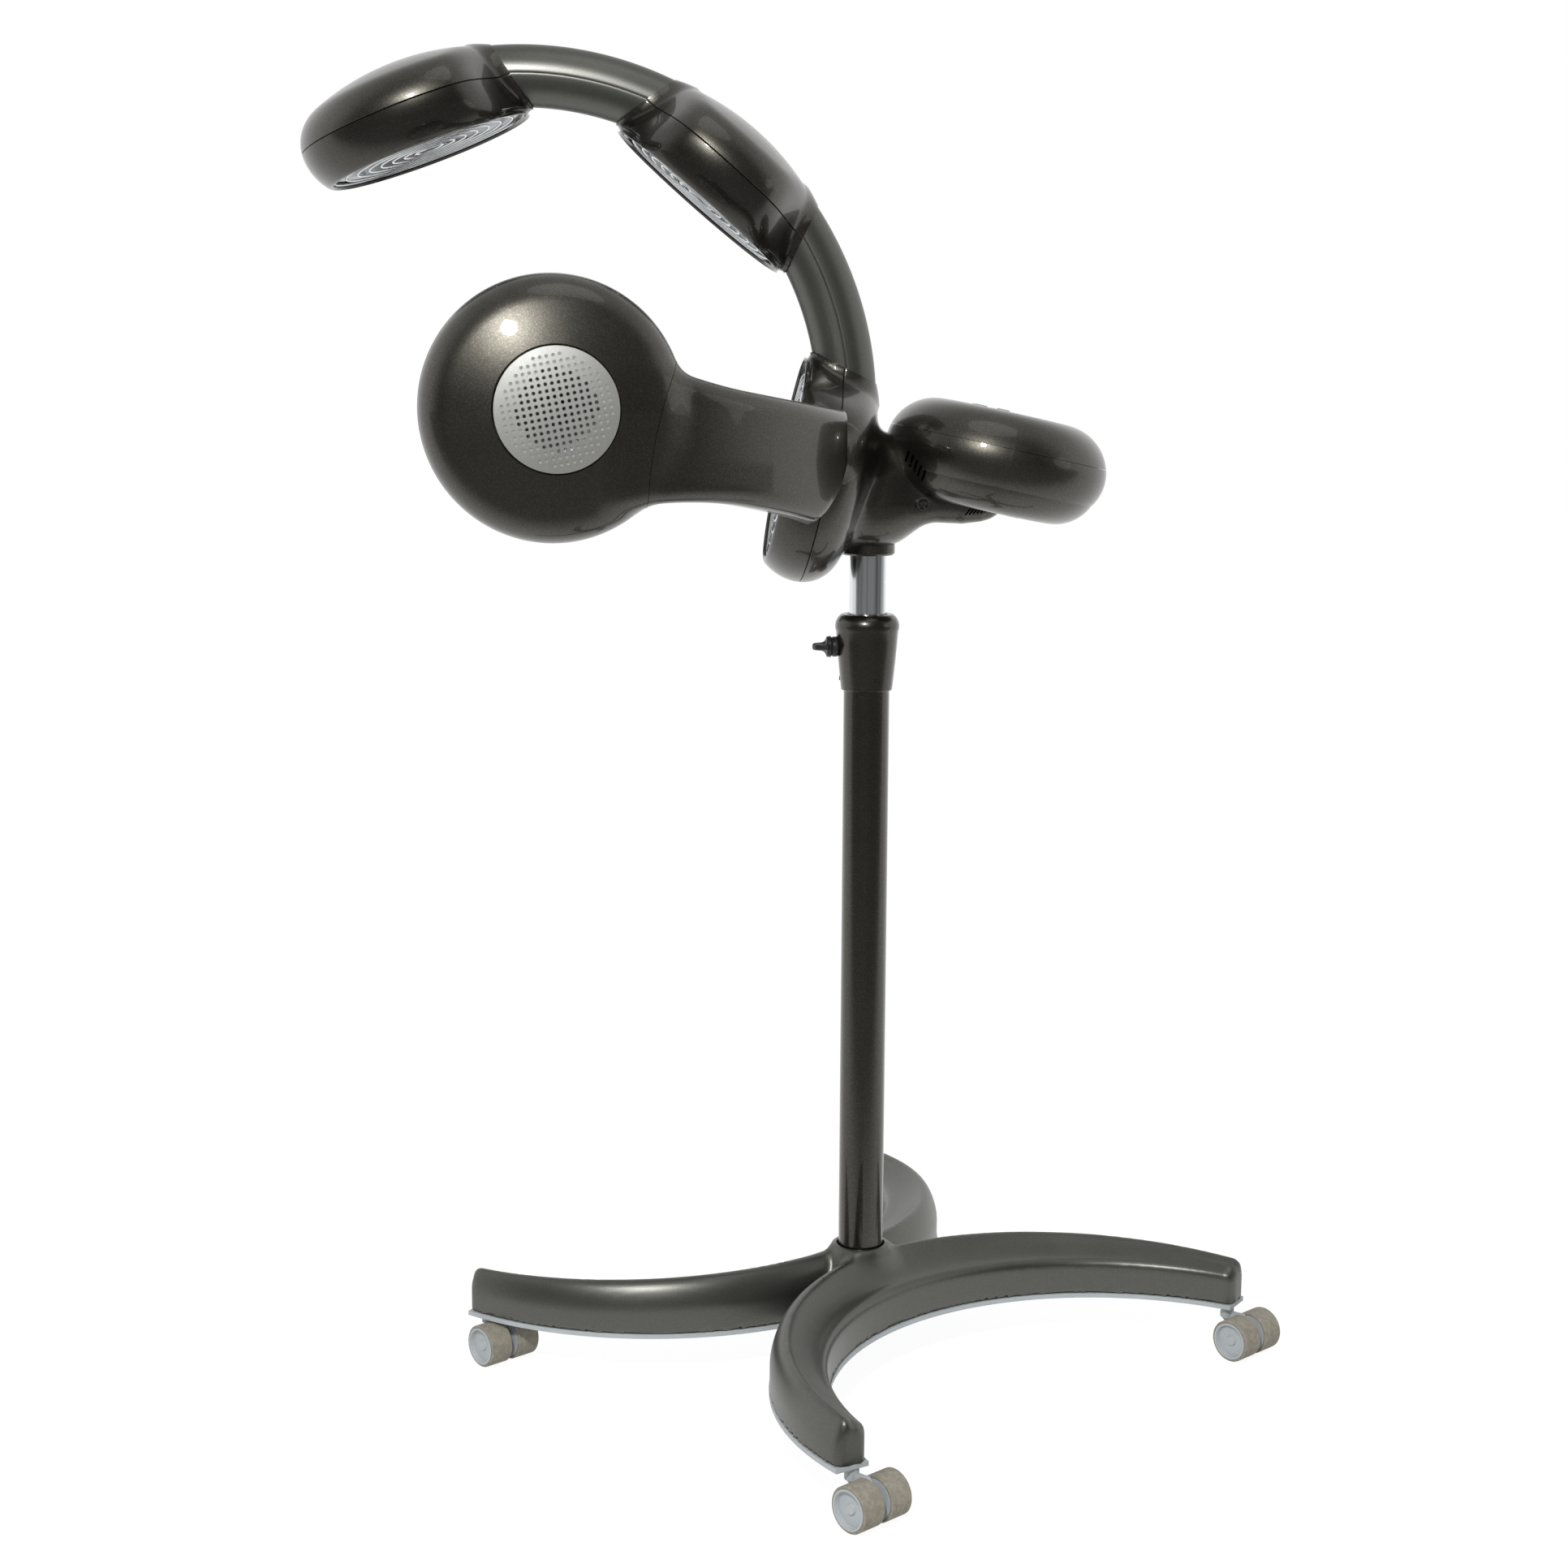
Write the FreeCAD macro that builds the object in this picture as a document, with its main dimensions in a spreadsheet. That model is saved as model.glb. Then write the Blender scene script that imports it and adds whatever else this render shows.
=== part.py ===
import FreeCAD, Part
import math
import os

import Sketcher

V = FreeCAD.Vector
doc = FreeCAD.newDocument("hair_color_processor")
sheet = doc.addObject("Spreadsheet::Sheet", "sizes")
nodes = {}


# ---------------------------------------------------------------- driving sizes
class Size:
    """A length or an angle, kept with the sheet expression that gives it."""

    def __init__(self, value, text):
        self.value = value
        self.text = text

    def _join(self, other, sign, result, swap=False):
        right = text(other)
        first, last = (right, self.text) if swap else (self.text, right)
        return Size(result, "(%s %s %s)" % (first, sign, last))

    def __add__(self, other):
        return self._join(other, "+", self.value + num(other))

    def __radd__(self, other):
        return self._join(other, "+", self.value + num(other), True)

    def __sub__(self, other):
        return self._join(other, "-", self.value - num(other))

    def __rsub__(self, other):
        return self._join(other, "-", num(other) - self.value, True)

    def __mul__(self, other):
        return self._join(other, "*", self.value * num(other))

    def __rmul__(self, other):
        return self._join(other, "*", self.value * num(other), True)

    def __truediv__(self, other):
        return self._join(other, "/", self.value / num(other))

    def __neg__(self):
        return Size(-self.value, "(0 - %s)" % self.text)


def num(size):
    """The plain number of a size."""
    return size.value if isinstance(size, Size) else float(size)


def text(size):
    """The expression of a size."""
    return size.text if isinstance(size, Size) else repr(float(size))


def size(name, value):
    """Put one driving size in the sheet and return it."""
    row = str(len(size.names) + 1)
    size.names.append(name)
    sheet.set("A" + row, name)
    sheet.set("B" + row, repr(value))
    sheet.setAlias("B" + row, name)
    return Size(value, "sizes." + name)


size.names = []


def derived(name, value):
    """Put a size that follows from others in the sheet."""
    row = str(len(size.names) + 1)
    size.names.append(name)
    sheet.set("A" + row, name)
    sheet.set("B" + row, "=" + value.text.replace("sizes.", ""))
    sheet.setAlias("B" + row, name)
    return Size(value.value, "sizes." + name)


# base
leg_reach = size("leg_reach", 430.0)
leg_half_angle = size("leg_half_angle", 47.3)
leg_bisector = size("leg_bisector", 41.4)
hub_width = size("hub_width", 74.0)
tip_width = size("tip_width", 35.0)
hub_ridge = size("hub_ridge", 120.0)
tip_ridge = size("tip_ridge", 98.0)
saddle_height = size("saddle_height", 128.0)
saddle_radius = size("saddle_radius", 33.0)
casting_wall = size("casting_wall", 6.0)
trim_bottom = size("trim_bottom", 50.0)
trim_thickness = size("trim_thickness", 5.0)
trim_margin = size("trim_margin", 1.5)
# casters
caster_inset = size("caster_inset", 9.0)
caster_reach = derived("caster_reach", leg_reach - caster_inset)
caster_angle = size("caster_angle", 40.0)
caster_trail = size("caster_trail", 28.0)
wheel_radius = size("wheel_radius", 23.5)
wheel_width = size("wheel_width", 29.0)
wheel_gap = size("wheel_gap", 8.0)
rim_radius = size("rim_radius", 20.5)
axle_radius = size("axle_radius", 4.0)
stem_radius = size("stem_radius", 7.4)
pin_radius = size("pin_radius", 5.0)
pin_height = size("pin_height", 24.0)
# column, collar and mast
column_radius = size("column_radius", 25.0)
column_wall = size("column_wall", 3.0)
collar_length = size("collar_length", 83.0)
collar_head = size("collar_head", 41.0)
mast_radius = size("mast_radius", 19.7)
mast_wall = size("mast_wall", 2.0)
mast_show = size("mast_show", 64.0)
mast_hidden = size("mast_hidden", 330.0)
mast_grip = size("mast_grip", 50.0)
slot_drop = size("slot_drop", 28.0)
slot_height = size("slot_height", 3.0)
guide_height = size("guide_height", 36.0)
knob_drop = size("knob_drop", 36.0)
stud_radius = size("stud_radius", 4.0)
screw_radius = size("screw_radius", 2.5)
# head: lamps stand on circles about the middle of the client's head
head_offset = size("head_offset", 365.0)
head_height = size("head_height", 1063.0)
arch_radius = size("arch_radius", 340.0)
lamp_distance = size("lamp_distance", 281.0)
lamp_radius = size("lamp_radius", 126.0)
opening_radius = size("opening_radius", 108.0)
parting_depth = size("parting_depth", 40.0)
dome_depth = size("dome_depth", 94.0)
rear_angle = size("rear_angle", -11.5)
lamp_pitch = size("lamp_pitch", 61.1)
side_angle = size("side_angle", 6.7)
shell_wall = size("shell_wall", 2.8)
tube_radius = size("tube_radius", 32.0)
tube_wall = size("tube_wall", 2.8)
vent_radius = size("vent_radius", 58.5)
vent_hole_radius = size("vent_hole_radius", 1.7)
vent_pitch = size("vent_pitch", 6.2)
ring_pitch = size("ring_pitch", 13.0)
wire_radius = size("wire_radius", 1.3)
element_radius = size("element_radius", 5.5)
# side arms
hinge_reach = size("hinge_reach", 138.0)
hinge_drop = size("hinge_drop", 62.0)
knuckle_radius = size("knuckle_radius", 23.0)
knuckle_height = size("knuckle_height", 128.0)
hinge_pin_radius = size("hinge_pin_radius", 6.0)
lug_height = size("lug_height", 36.0)
lug_lift = size("lug_lift", 16.0)
# hub and control housing
ring_radius = size("ring_radius", 29.0)
hub_drop = size("hub_drop", 158.0)
ring_height = size("ring_height", 12.0)
hub_radius = size("hub_radius", 40.0)
crown_drop = size("crown_drop", 39.0)
control_offset = size("control_offset", 140.0)
control_drop = size("control_drop", 41.5)
control_tilt = size("control_tilt", 12.0)
control_radius = size("control_radius", 118.5)
cover_rise = size("cover_rise", 37.6)
base_drop = size("base_drop", 69.0)
panel_radius = size("panel_radius", 62.0)
button_radius = size("button_radius", 7.0)
# fits
fixed_gap = size("fixed_gap", 0.2)
run_gap = size("run_gap", 0.06)
seam_gap = size("seam_gap", 0.4)


# ---------------------------------------------------------------- drawing helpers
def cosd(angle):
    return Size(math.cos(math.radians(num(angle))), "cos(%s * 1 deg)" % text(angle))


def sind(angle):
    return Size(math.sin(math.radians(num(angle))), "sin(%s * 1 deg)" % text(angle))


def root(square):
    return Size(math.sqrt(num(square)), "sqrt(%s)" % text(square))


def bind(thing, prop, value):
    """Give a property its size, by expression where it comes from the sheet."""
    if isinstance(value, Size):
        thing.setExpression(prop, value.text)
    else:
        setattr(thing, prop, value)


def new_body(name):
    body = doc.addObject("PartDesign::Body", name)
    body.Label = name
    return body


def new_sketch(body, role, name, offset=None):
    """A sketch on one of the body's own origin planes."""
    sketch = body.newObject("Sketcher::SketchObject", name)
    plane = [f for f in body.Origin.OriginFeatures if f.Role == role][0]
    sketch.AttachmentSupport = [(plane, "")]
    sketch.MapMode = "FlatFace"
    if offset is not None:
        sketch.AttachmentOffset = offset
    return sketch


def fix(sketch, geo, pos, x, y):
    """Hold one point of the sketch at x, y."""
    for kind, value, axis in (("DistanceX", x, -2), ("DistanceY", y, -1)):
        if not isinstance(value, Size) and float(value) == 0.0:
            sketch.addConstraint(Sketcher.Constraint("PointOnObject", geo, pos, axis))
            continue
        row = sketch.addConstraint(Sketcher.Constraint(kind, -1, 1, geo, pos, num(value)))
        if isinstance(value, Size):
            sketch.setExpression("Constraints[%d]" % row, value.text)


H_AXIS = -1
V_AXIS = -2


def middle_of_cap(a, b, axis):
    """Middle of the arc from a to b whose centre lies on a sketch axis."""
    along = V(1, 0, 0) if axis == H_AXIS else V(0, 1, 0)
    chord = b - a
    centre = along * ((b.dot(b) - a.dot(a)) / (2 * chord.dot(along)))
    outward = (a + b) * 0.5 - centre
    return centre + outward.normalize() * (a - centre).Length


def outline(sketch, points):
    """Close a loop through the points.

    A point is (x, y), or (x, y, mx, my) where the edge that follows it is an
    arc through mx, my, or (x, y, axis) where that arc is centred on the axis.
    """
    ends = []
    for here, there in zip(points, points[1:] + points[:1]):
        a = V(num(here[0]), num(here[1]), 0)
        b = V(num(there[0]), num(there[1]), 0)
        if len(here) == 2:
            geo = sketch.addGeometry(Part.LineSegment(a, b), False)
            ends.append((geo, 1, 2))
            continue
        centred = len(here) == 3
        via = middle_of_cap(a, b, here[2]) if centred else V(num(here[2]), num(here[3]), 0)
        geo = sketch.addGeometry(Part.Arc(a, via, b), False)
        forward = (sketch.getPoint(geo, 1) - a).Length < 1e-6
        ends.append((geo, 1, 2) if forward else (geo, 2, 1))
        if centred:
            sketch.addConstraint(Sketcher.Constraint("PointOnObject", geo, 3, here[2]))
            continue
        spot = sketch.addGeometry(Part.Point(via), True)
        fix(sketch, spot, 1, here[2], here[3])
        sketch.addConstraint(Sketcher.Constraint("PointOnObject", spot, 1, geo))
    for k, (geo, start, _) in enumerate(ends):
        before, _, stop = ends[k - 1]
        sketch.addConstraint(Sketcher.Constraint("Coincident", before, stop, geo, start))
        fix(sketch, geo, start, points[k][0], points[k][1])


def circle(sketch, x, y, radius):
    geo = sketch.addGeometry(Part.Circle(V(num(x), num(y), 0), V(0, 0, 1), num(radius)), False)
    fix(sketch, geo, 3, x, y)
    row = sketch.addConstraint(Sketcher.Constraint("Radius", geo, num(radius)))
    if isinstance(radius, Size):
        sketch.setExpression("Constraints[%d]" % row, radius.text)


def box_outline(sketch, x0, x1, y0, y1):
    outline(sketch, [(x0, y0), (x1, y0), (x1, y1), (x0, y1)])


def shift(x=0.0, y=0.0, z=0.0):
    return FreeCAD.Placement(V(num(x), num(y), num(z)), FreeCAD.Rotation())


def pad(body, sketch, length, cut=False, both=False, back=False):
    """Pad or pocket a sketch; both sides share the length when both is set."""
    kind = "PartDesign::Pocket" if cut else "PartDesign::Pad"
    feature = body.newObject(kind, sketch.Name + ("_cut" if cut else "_pad"))
    feature.Profile = sketch
    bind(feature, "Length", length)
    if both:
        feature.Midplane = True
    feature.Reversed = back
    sketch.Visibility = False
    body.Tip = feature
    return feature


def turn(body, sketch, axis="V_Axis", angle=360.0, cut=False, both=False):
    """Revolve a sketch about one of its own axes."""
    kind = "PartDesign::Groove" if cut else "PartDesign::Revolution"
    feature = body.newObject(kind, sketch.Name + ("_groove" if cut else "_turn"))
    feature.Profile = sketch
    feature.ReferenceAxis = (sketch, [axis])
    bind(feature, "Angle", angle)
    if both:
        feature.Midplane = True
    sketch.Visibility = False
    body.Tip = feature
    return feature


def loft(body, sketches, cut=False):
    kind = "PartDesign::SubtractiveLoft" if cut else "PartDesign::AdditiveLoft"
    feature = body.newObject(kind, sketches[0].Name + "_loft")
    feature.Profile = sketches[0]
    feature.Sections = sketches[1:]
    for sketch in sketches:
        sketch.Visibility = False
    body.Tip = feature
    return feature


def boolean(kind, name, base, tools):
    """Cut the tools from the base, or keep what they share."""
    tool = tools[0]
    if len(tools) > 1:
        tool = doc.addObject("Part::MultiFuse", name + "_tools")
        tool.Shapes = tools
    result = doc.addObject("Part::" + kind, name)
    result.Base = base
    result.Tool = tool
    result.Label = name
    return result


def fuse(name, shapes):
    result = doc.addObject("Part::MultiFuse", name)
    result.Shapes = shapes
    result.Label = name
    return result


def group(name, shapes):
    """Equal loose pieces kept as one node."""
    result = doc.addObject("Part::Compound", name)
    result.Links = shapes
    result.Label = name
    return result


def mirrored(name, source):
    """The same piece on the other side of the middle plane."""
    result = doc.addObject("Part::Mirroring", name)
    result.Source = source
    result.Base = V(0, 0, 0)
    result.Normal = V(1, 0, 0)
    result.Label = name
    return result


def cylinder(name, radius, height, place):
    result = doc.addObject("Part::Cylinder", name)
    bind(result, "Radius", radius)
    bind(result, "Height", height)
    result.Placement = place
    return result


def block(name, length, width, height, place):
    result = doc.addObject("Part::Box", name)
    bind(result, "Length", length)
    bind(result, "Width", width)
    bind(result, "Height", height)
    result.Placement = place
    return result


def torus(name, ring, wire, place):
    result = doc.addObject("Part::Torus", name)
    bind(result, "Radius1", ring)
    bind(result, "Radius2", wire)
    result.Placement = place
    return result


def node(thing):
    """Name a finished piece of the processor."""
    nodes[thing.Label] = thing
    return thing


def turned(axis, angle, point=(0, 0, 0)):
    """A placement that turns about an axis through a point."""
    spin = FreeCAD.Rotation(axis, num(angle))
    pivot = V(*[num(v) for v in point])
    return FreeCAD.Placement(pivot - spin.multVec(pivot), spin)


# ---------------------------------------------------------------- heights
# The head carries its own parts; the column and the collar follow from it.
hub_bottom = derived("hub_bottom", head_height - hub_drop)
hub_crown = derived("hub_crown", head_height - crown_drop)
control_height = derived("control_height", head_height - control_drop)
collar_top = derived("collar_top", hub_bottom - mast_show)
collar_bottom = derived("collar_bottom", collar_top - collar_length)
column_top = derived("column_top", collar_top - collar_head)
mast_bottom = derived("mast_bottom", column_top - mast_hidden)
mast_top = derived("mast_top", hub_bottom + mast_grip)
knob_height = derived("knob_height", collar_top - knob_drop)

# ---------------------------------------------------------------- frames
head = V(0, -num(head_offset), num(head_height))


def arch_frame(angle):
    """X towards the lamp at this angle of the arch, Z along the arch's own axis."""
    a = math.radians(num(angle))
    out = V(0, math.cos(a), math.sin(a))
    along = V(0, -math.sin(a), math.cos(a))
    return FreeCAD.Placement(head, FreeCAD.Rotation(out, along, V(1, 0, 0), "XYZ"))


def side_frame():
    """X towards the lamp on the right-hand arm, Z up."""
    return FreeCAD.Placement(head, FreeCAD.Rotation(V(0, 0, 1), num(side_angle)))


mid_angle = rear_angle + lamp_pitch
front_angle = mid_angle + lamp_pitch
frames = {
    "rear_lamp": arch_frame(rear_angle),
    "mid_lamp": arch_frame(mid_angle),
    "front_lamp": arch_frame(front_angle),
    "right_lamp": side_frame(),
}

# ---------------------------------------------------------------- base
# Two crescents stand back to back; each is a ring segment about its own centre.
tip_u = derived("tip_u", leg_reach * cosd(leg_half_angle))
tip_v = derived("tip_v", leg_reach * sind(leg_half_angle))
half_hub = derived("half_hub", hub_width / 2)
leg_radius = derived("leg_radius", ((tip_u - half_hub) * (tip_u - half_hub) + tip_v * tip_v)
                     / (2 * (tip_u - half_hub)))
leg_centre = derived("leg_centre", half_hub + leg_radius)
leg_sweep = math.degrees(math.asin(num(tip_v) / num(leg_radius)))
trim_top = derived("trim_top", trim_bottom + trim_thickness)


def leg_section(body, share, name, inset=0.0, floor=None):
    """Section across the leg; share runs from -1 to 1 along it.

    The crest stands on the outer side near the column and in the middle at
    the ends, and slopes down to a low shoulder on the inner side.
    """
    bulge = 1 - share * share
    width = tip_width + (hub_width - tip_width) * bulge - 2 * inset
    ridge = tip_ridge + (hub_ridge - tip_ridge) * (1 - abs(share) ** 1.3) - inset
    low = trim_top + fixed_gap if floor is None else floor
    rise = ridge - low
    spin = FreeCAD.Rotation(V(0, 1, 0), share * leg_sweep)
    sketch = new_sketch(body, "XZ_Plane", name, FreeCAD.Placement(V(0, 0, 0), spin))
    near = leg_radius - width / 2
    far = leg_radius + width / 2
    crest = leg_radius + width * (0.20 * bulge)
    bank = near + width * 0.18
    shoulder = low + rise * (0.90 - 0.34 * bulge)
    sag = 0.15 * bulge - 0.06
    outline(sketch, [
        (near, low), (far, low),
        (far, low + rise * 0.64, far - width * 0.12, low + rise * 0.91),
        (crest, ridge, (crest + bank) / 2 - width * (sag * 0.4), (ridge + shoulder) / 2 - rise * sag),
        (bank, shoulder, near + width * 0.05, shoulder - rise * 0.07),
        (near, shoulder - rise * 0.22)])
    return sketch


leg_steps = [-1.0, -0.76, -0.5, -0.25, 0.0, 0.25, 0.5, 0.76, 1.0]


def crescent(name, turn_angle):
    """One hollow crescent of the base casting."""
    body = new_body(name)
    loft(body, [leg_section(body, s, "%s_rib_%d" % (name, k)) for k, s in enumerate(leg_steps)])
    loft(body, [leg_section(body, s * 0.96, "%s_core_%d" % (name, k), casting_wall, trim_top - 1)
                for k, s in enumerate(leg_steps)], cut=True)
    away = FreeCAD.Rotation(V(0, 0, 1), num(leg_bisector) + turn_angle)
    centre = away.multVec(V(num(leg_centre), 0, 0))
    body.Placement = FreeCAD.Placement(centre, away.multiply(FreeCAD.Rotation(V(0, 0, 1), 180)))
    return body


caster_angles = [num(leg_bisector) + s * num(leg_half_angle) + h for h in (0, 180) for s in (-1, 1)]


def caster_spot(angle, height=0.0):
    a = math.radians(angle)
    return V(num(caster_reach) * math.cos(a), num(caster_reach) * math.sin(a), num(height))


saddle = new_body("saddle")
profile = new_sketch(saddle, "XZ_Plane", "saddle_profile")
outline(profile, [(0.0, trim_top + fixed_gap), (half_hub + 8, trim_top + fixed_gap),
                  (half_hub + 8, hub_ridge - 24), (saddle_radius, saddle_height),
                  (0.0, saddle_height)])
turn(saddle, profile)
casting_solid = fuse("casting_solid", [crescent("crescent_one", 0), crescent("crescent_two", 180), saddle])
bosses = []
bores = [cylinder("column_bore", column_radius + fixed_gap, saddle_height, shift(z=trim_top - 1))]
for k, angle in enumerate(caster_angles):
    bosses.append(cylinder("stem_boss_%d" % k, pin_radius + casting_wall, pin_height + 6,
                           FreeCAD.Placement(caster_spot(angle, trim_top + fixed_gap), FreeCAD.Rotation())))
    bores.append(cylinder("stem_bore_%d" % k, pin_radius + run_gap, pin_height + 1,
                          FreeCAD.Placement(caster_spot(angle, trim_bottom), FreeCAD.Rotation())))
casting_full = fuse("casting_full", [casting_solid] + bosses)
node(boolean("Cut", "base_casting", casting_full, bores))


spread = derived("tip_spread", tip_v / leg_radius)
drop = derived("tip_drop", root(1 - spread * spread))


def trim_outline(sketch, flip):
    """Plan of one crescent, a little wider than the casting above it."""
    sign = -1 if flip else 1
    reach = leg_radius - half_hub - trim_margin
    wide = leg_radius + half_hub + trim_margin
    inner = leg_radius - tip_width / 2 - trim_margin
    outer = leg_radius + tip_width / 2 + trim_margin
    grow = trim_margin
    points = [
        (sign * (leg_centre - inner * drop + grow * spread), inner * spread + grow * drop,
         sign * (leg_centre - reach), 0.0),
        (sign * (leg_centre - inner * drop + grow * spread), -(inner * spread + grow * drop)),
        (sign * (leg_centre - outer * drop + grow * spread), -(outer * spread + grow * drop),
         sign * (leg_centre - wide), 0.0),
        (sign * (leg_centre - outer * drop + grow * spread), outer * spread + grow * drop),
    ]
    outline(sketch, points)


trim = new_body("base_trim")
for k in (0, 1):
    plan = new_sketch(trim, "XY_Plane", "trim_plan_%d" % k)
    trim_outline(plan, k == 1)
    pad(trim, plan, trim_thickness)
holes = new_sketch(trim, "XY_Plane", "trim_holes")
for angle in caster_angles:
    spot = caster_spot(angle - num(leg_bisector))
    circle(holes, spot.x, spot.y, pin_radius + run_gap)
pad(trim, holes, trim_thickness + 2, cut=True, back=True)
trim.Placement = FreeCAD.Placement(
    V(0, 0, num(trim_bottom)), FreeCAD.Rotation(V(0, 0, 1), num(leg_bisector)))
node(trim)

# ---------------------------------------------------------------- column, collar, mast
column = new_body("column_tube")
ring = new_sketch(column, "XY_Plane", "column_ring")
circle(ring, 0.0, 0.0, column_radius)
circle(ring, 0.0, 0.0, column_radius - column_wall)
pad(column, ring, column_top - trim_top - fixed_gap)
column.Placement = shift(z=trim_top + fixed_gap)
node(column)

bush_inner = mast_radius + run_gap
bush_outer = column_radius - 1
collar = new_body("column_collar")
profile = new_sketch(collar, "XZ_Plane", "collar_profile")
outline(profile, [
    (column_radius + fixed_gap, collar_bottom),
    (column_radius + 4, collar_bottom),
    (column_radius + 10.5, collar_top - collar_length * 0.2, column_radius + 10.2, collar_top - 4),
    (column_radius + 6.5, collar_top),
    (mast_radius + 1, collar_top),
    (mast_radius + 1, collar_top - 3),
    (bush_outer + fixed_gap, collar_top - 3),
    (bush_outer + fixed_gap, column_top + fixed_gap),
    (column_radius + fixed_gap, column_top + fixed_gap)])
turn(collar, profile)
stud_hole = new_sketch(collar, "XZ_Plane", "stud_hole")
circle(stud_hole, 0.0, knob_height, stud_radius + run_gap)
pad(collar, stud_hole, column_radius + 20, cut=True, back=True)
collar_screw_height = collar_bottom + 12
screw_angles = (18.0, 138.0, 258.0)


def radial(angle, start, height):
    """A placement whose Z runs outwards from the column at this angle."""
    a = math.radians(angle)
    out = V(math.cos(a), math.sin(a), 0)
    spin = FreeCAD.Rotation(V(0, 0, 1), out)
    return FreeCAD.Placement(out * num(start) + V(0, 0, num(height)), spin)


tapped = [cylinder("collar_tap_%d" % k, screw_radius + 0.05, 20.0,
                   radial(angle, column_radius - 1, collar_screw_height))
          for k, angle in enumerate(screw_angles)]
collar.Label = "collar_turned"
collar_piece = boolean("Cut", "column_collar_piece", collar, tapped)
collar_piece.Label = "column_collar"
node(collar_piece)

screws = []
for k, angle in enumerate(screw_angles):
    screw = new_body("grub_screw_%d" % k)
    face = new_sketch(screw, "XY_Plane", "grub_face_%d" % k)
    circle(face, 0.0, 0.0, screw_radius)
    pad(screw, face, 5.0)
    key = new_sketch(screw, "XY_Plane", "grub_key_%d" % k, shift(z=5.0))
    box_outline(key, -0.5, 0.5, -2.0, 2.0)
    pad(screw, key, 1.5, cut=True)
    screw.Placement = radial(angle, column_radius + 0.02, collar_screw_height)
    screws.append(screw)
node(group("collar_screws", screws))

bush = new_body("collar_bush")
profile = new_sketch(bush, "XZ_Plane", "bush_profile")
outline(profile, [(bush_inner, column_top + 2 * fixed_gap), (bush_outer, column_top + 2 * fixed_gap),
                  (bush_outer, collar_top - 3 - fixed_gap), (bush_inner, collar_top - 3 - fixed_gap)])
turn(bush, profile)
bush_hole = new_sketch(bush, "XZ_Plane", "bush_hole")
circle(bush_hole, 0.0, knob_height, stud_radius + run_gap)
pad(bush, bush_hole, column_radius + 20, cut=True, back=True)
node(bush)

mast = new_body("mast_tube")
ring = new_sketch(mast, "XY_Plane", "mast_ring")
circle(ring, 0.0, 0.0, mast_radius)
circle(ring, 0.0, 0.0, mast_radius - mast_wall)
pad(mast, ring, mast_top - mast_bottom)
slot = new_sketch(mast, "YZ_Plane", "mast_slot")
slot_top = mast_top - mast_bottom - mast_grip - slot_drop
box_outline(slot, mast_radius - 3, mast_radius + 2, slot_top - slot_height, slot_top)
pad(mast, slot, 14.0, cut=True, both=True)
mast.Placement = shift(z=mast_bottom)
node(mast)

guide = new_body("mast_guide")
profile = new_sketch(guide, "XZ_Plane", "guide_profile")
guide_out = column_radius - column_wall - run_gap
outline(profile, [(mast_radius - mast_wall + 0.3, mast_bottom - 6), (guide_out, mast_bottom - 6),
                  (guide_out, mast_bottom + guide_height), (mast_radius + 0.05, mast_bottom + guide_height),
                  (mast_radius + 0.05, mast_bottom - 0.1),
                  (mast_radius - mast_wall + 0.3, mast_bottom - 0.1)])
turn(guide, profile)
node(guide)

# clamp knob: local Z points forwards, away from the column
knob = new_body("clamp_knob")
knob_face = column_radius + 12
profile = new_sketch(knob, "XZ_Plane", "knob_profile")
outline(profile, [
    (0.0, mast_radius + 0.1), (stud_radius, mast_radius + 0.1), (stud_radius, knob_face),
    (11.5, knob_face), (11.5, knob_face + 5, 5.8, knob_face + 8.5), (3.6, knob_face + 14),
    (0.0, knob_face + 14)])
turn(knob, profile)
wing = new_sketch(knob, "XZ_Plane", "knob_wing")
outline(wing, [(-9.0, knob_face + 2), (9.0, knob_face + 2), (15.5, knob_face + 9, 16.0, knob_face + 15),
               (12.0, knob_face + 17), (-12.0, knob_face + 17, -16.0, knob_face + 15),
               (-15.5, knob_face + 9)])
pad(knob, wing, 6.4, both=True)
knob_facing = FreeCAD.Rotation(V(1, 0, 0), V(0, 0, 1), V(0, -1, 0), "XYZ")
knob.Placement = FreeCAD.Placement(V(0, 0, num(knob_height)), knob_facing)
node(knob)

# ---------------------------------------------------------------- casters
half_gap = wheel_gap / 2


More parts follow.
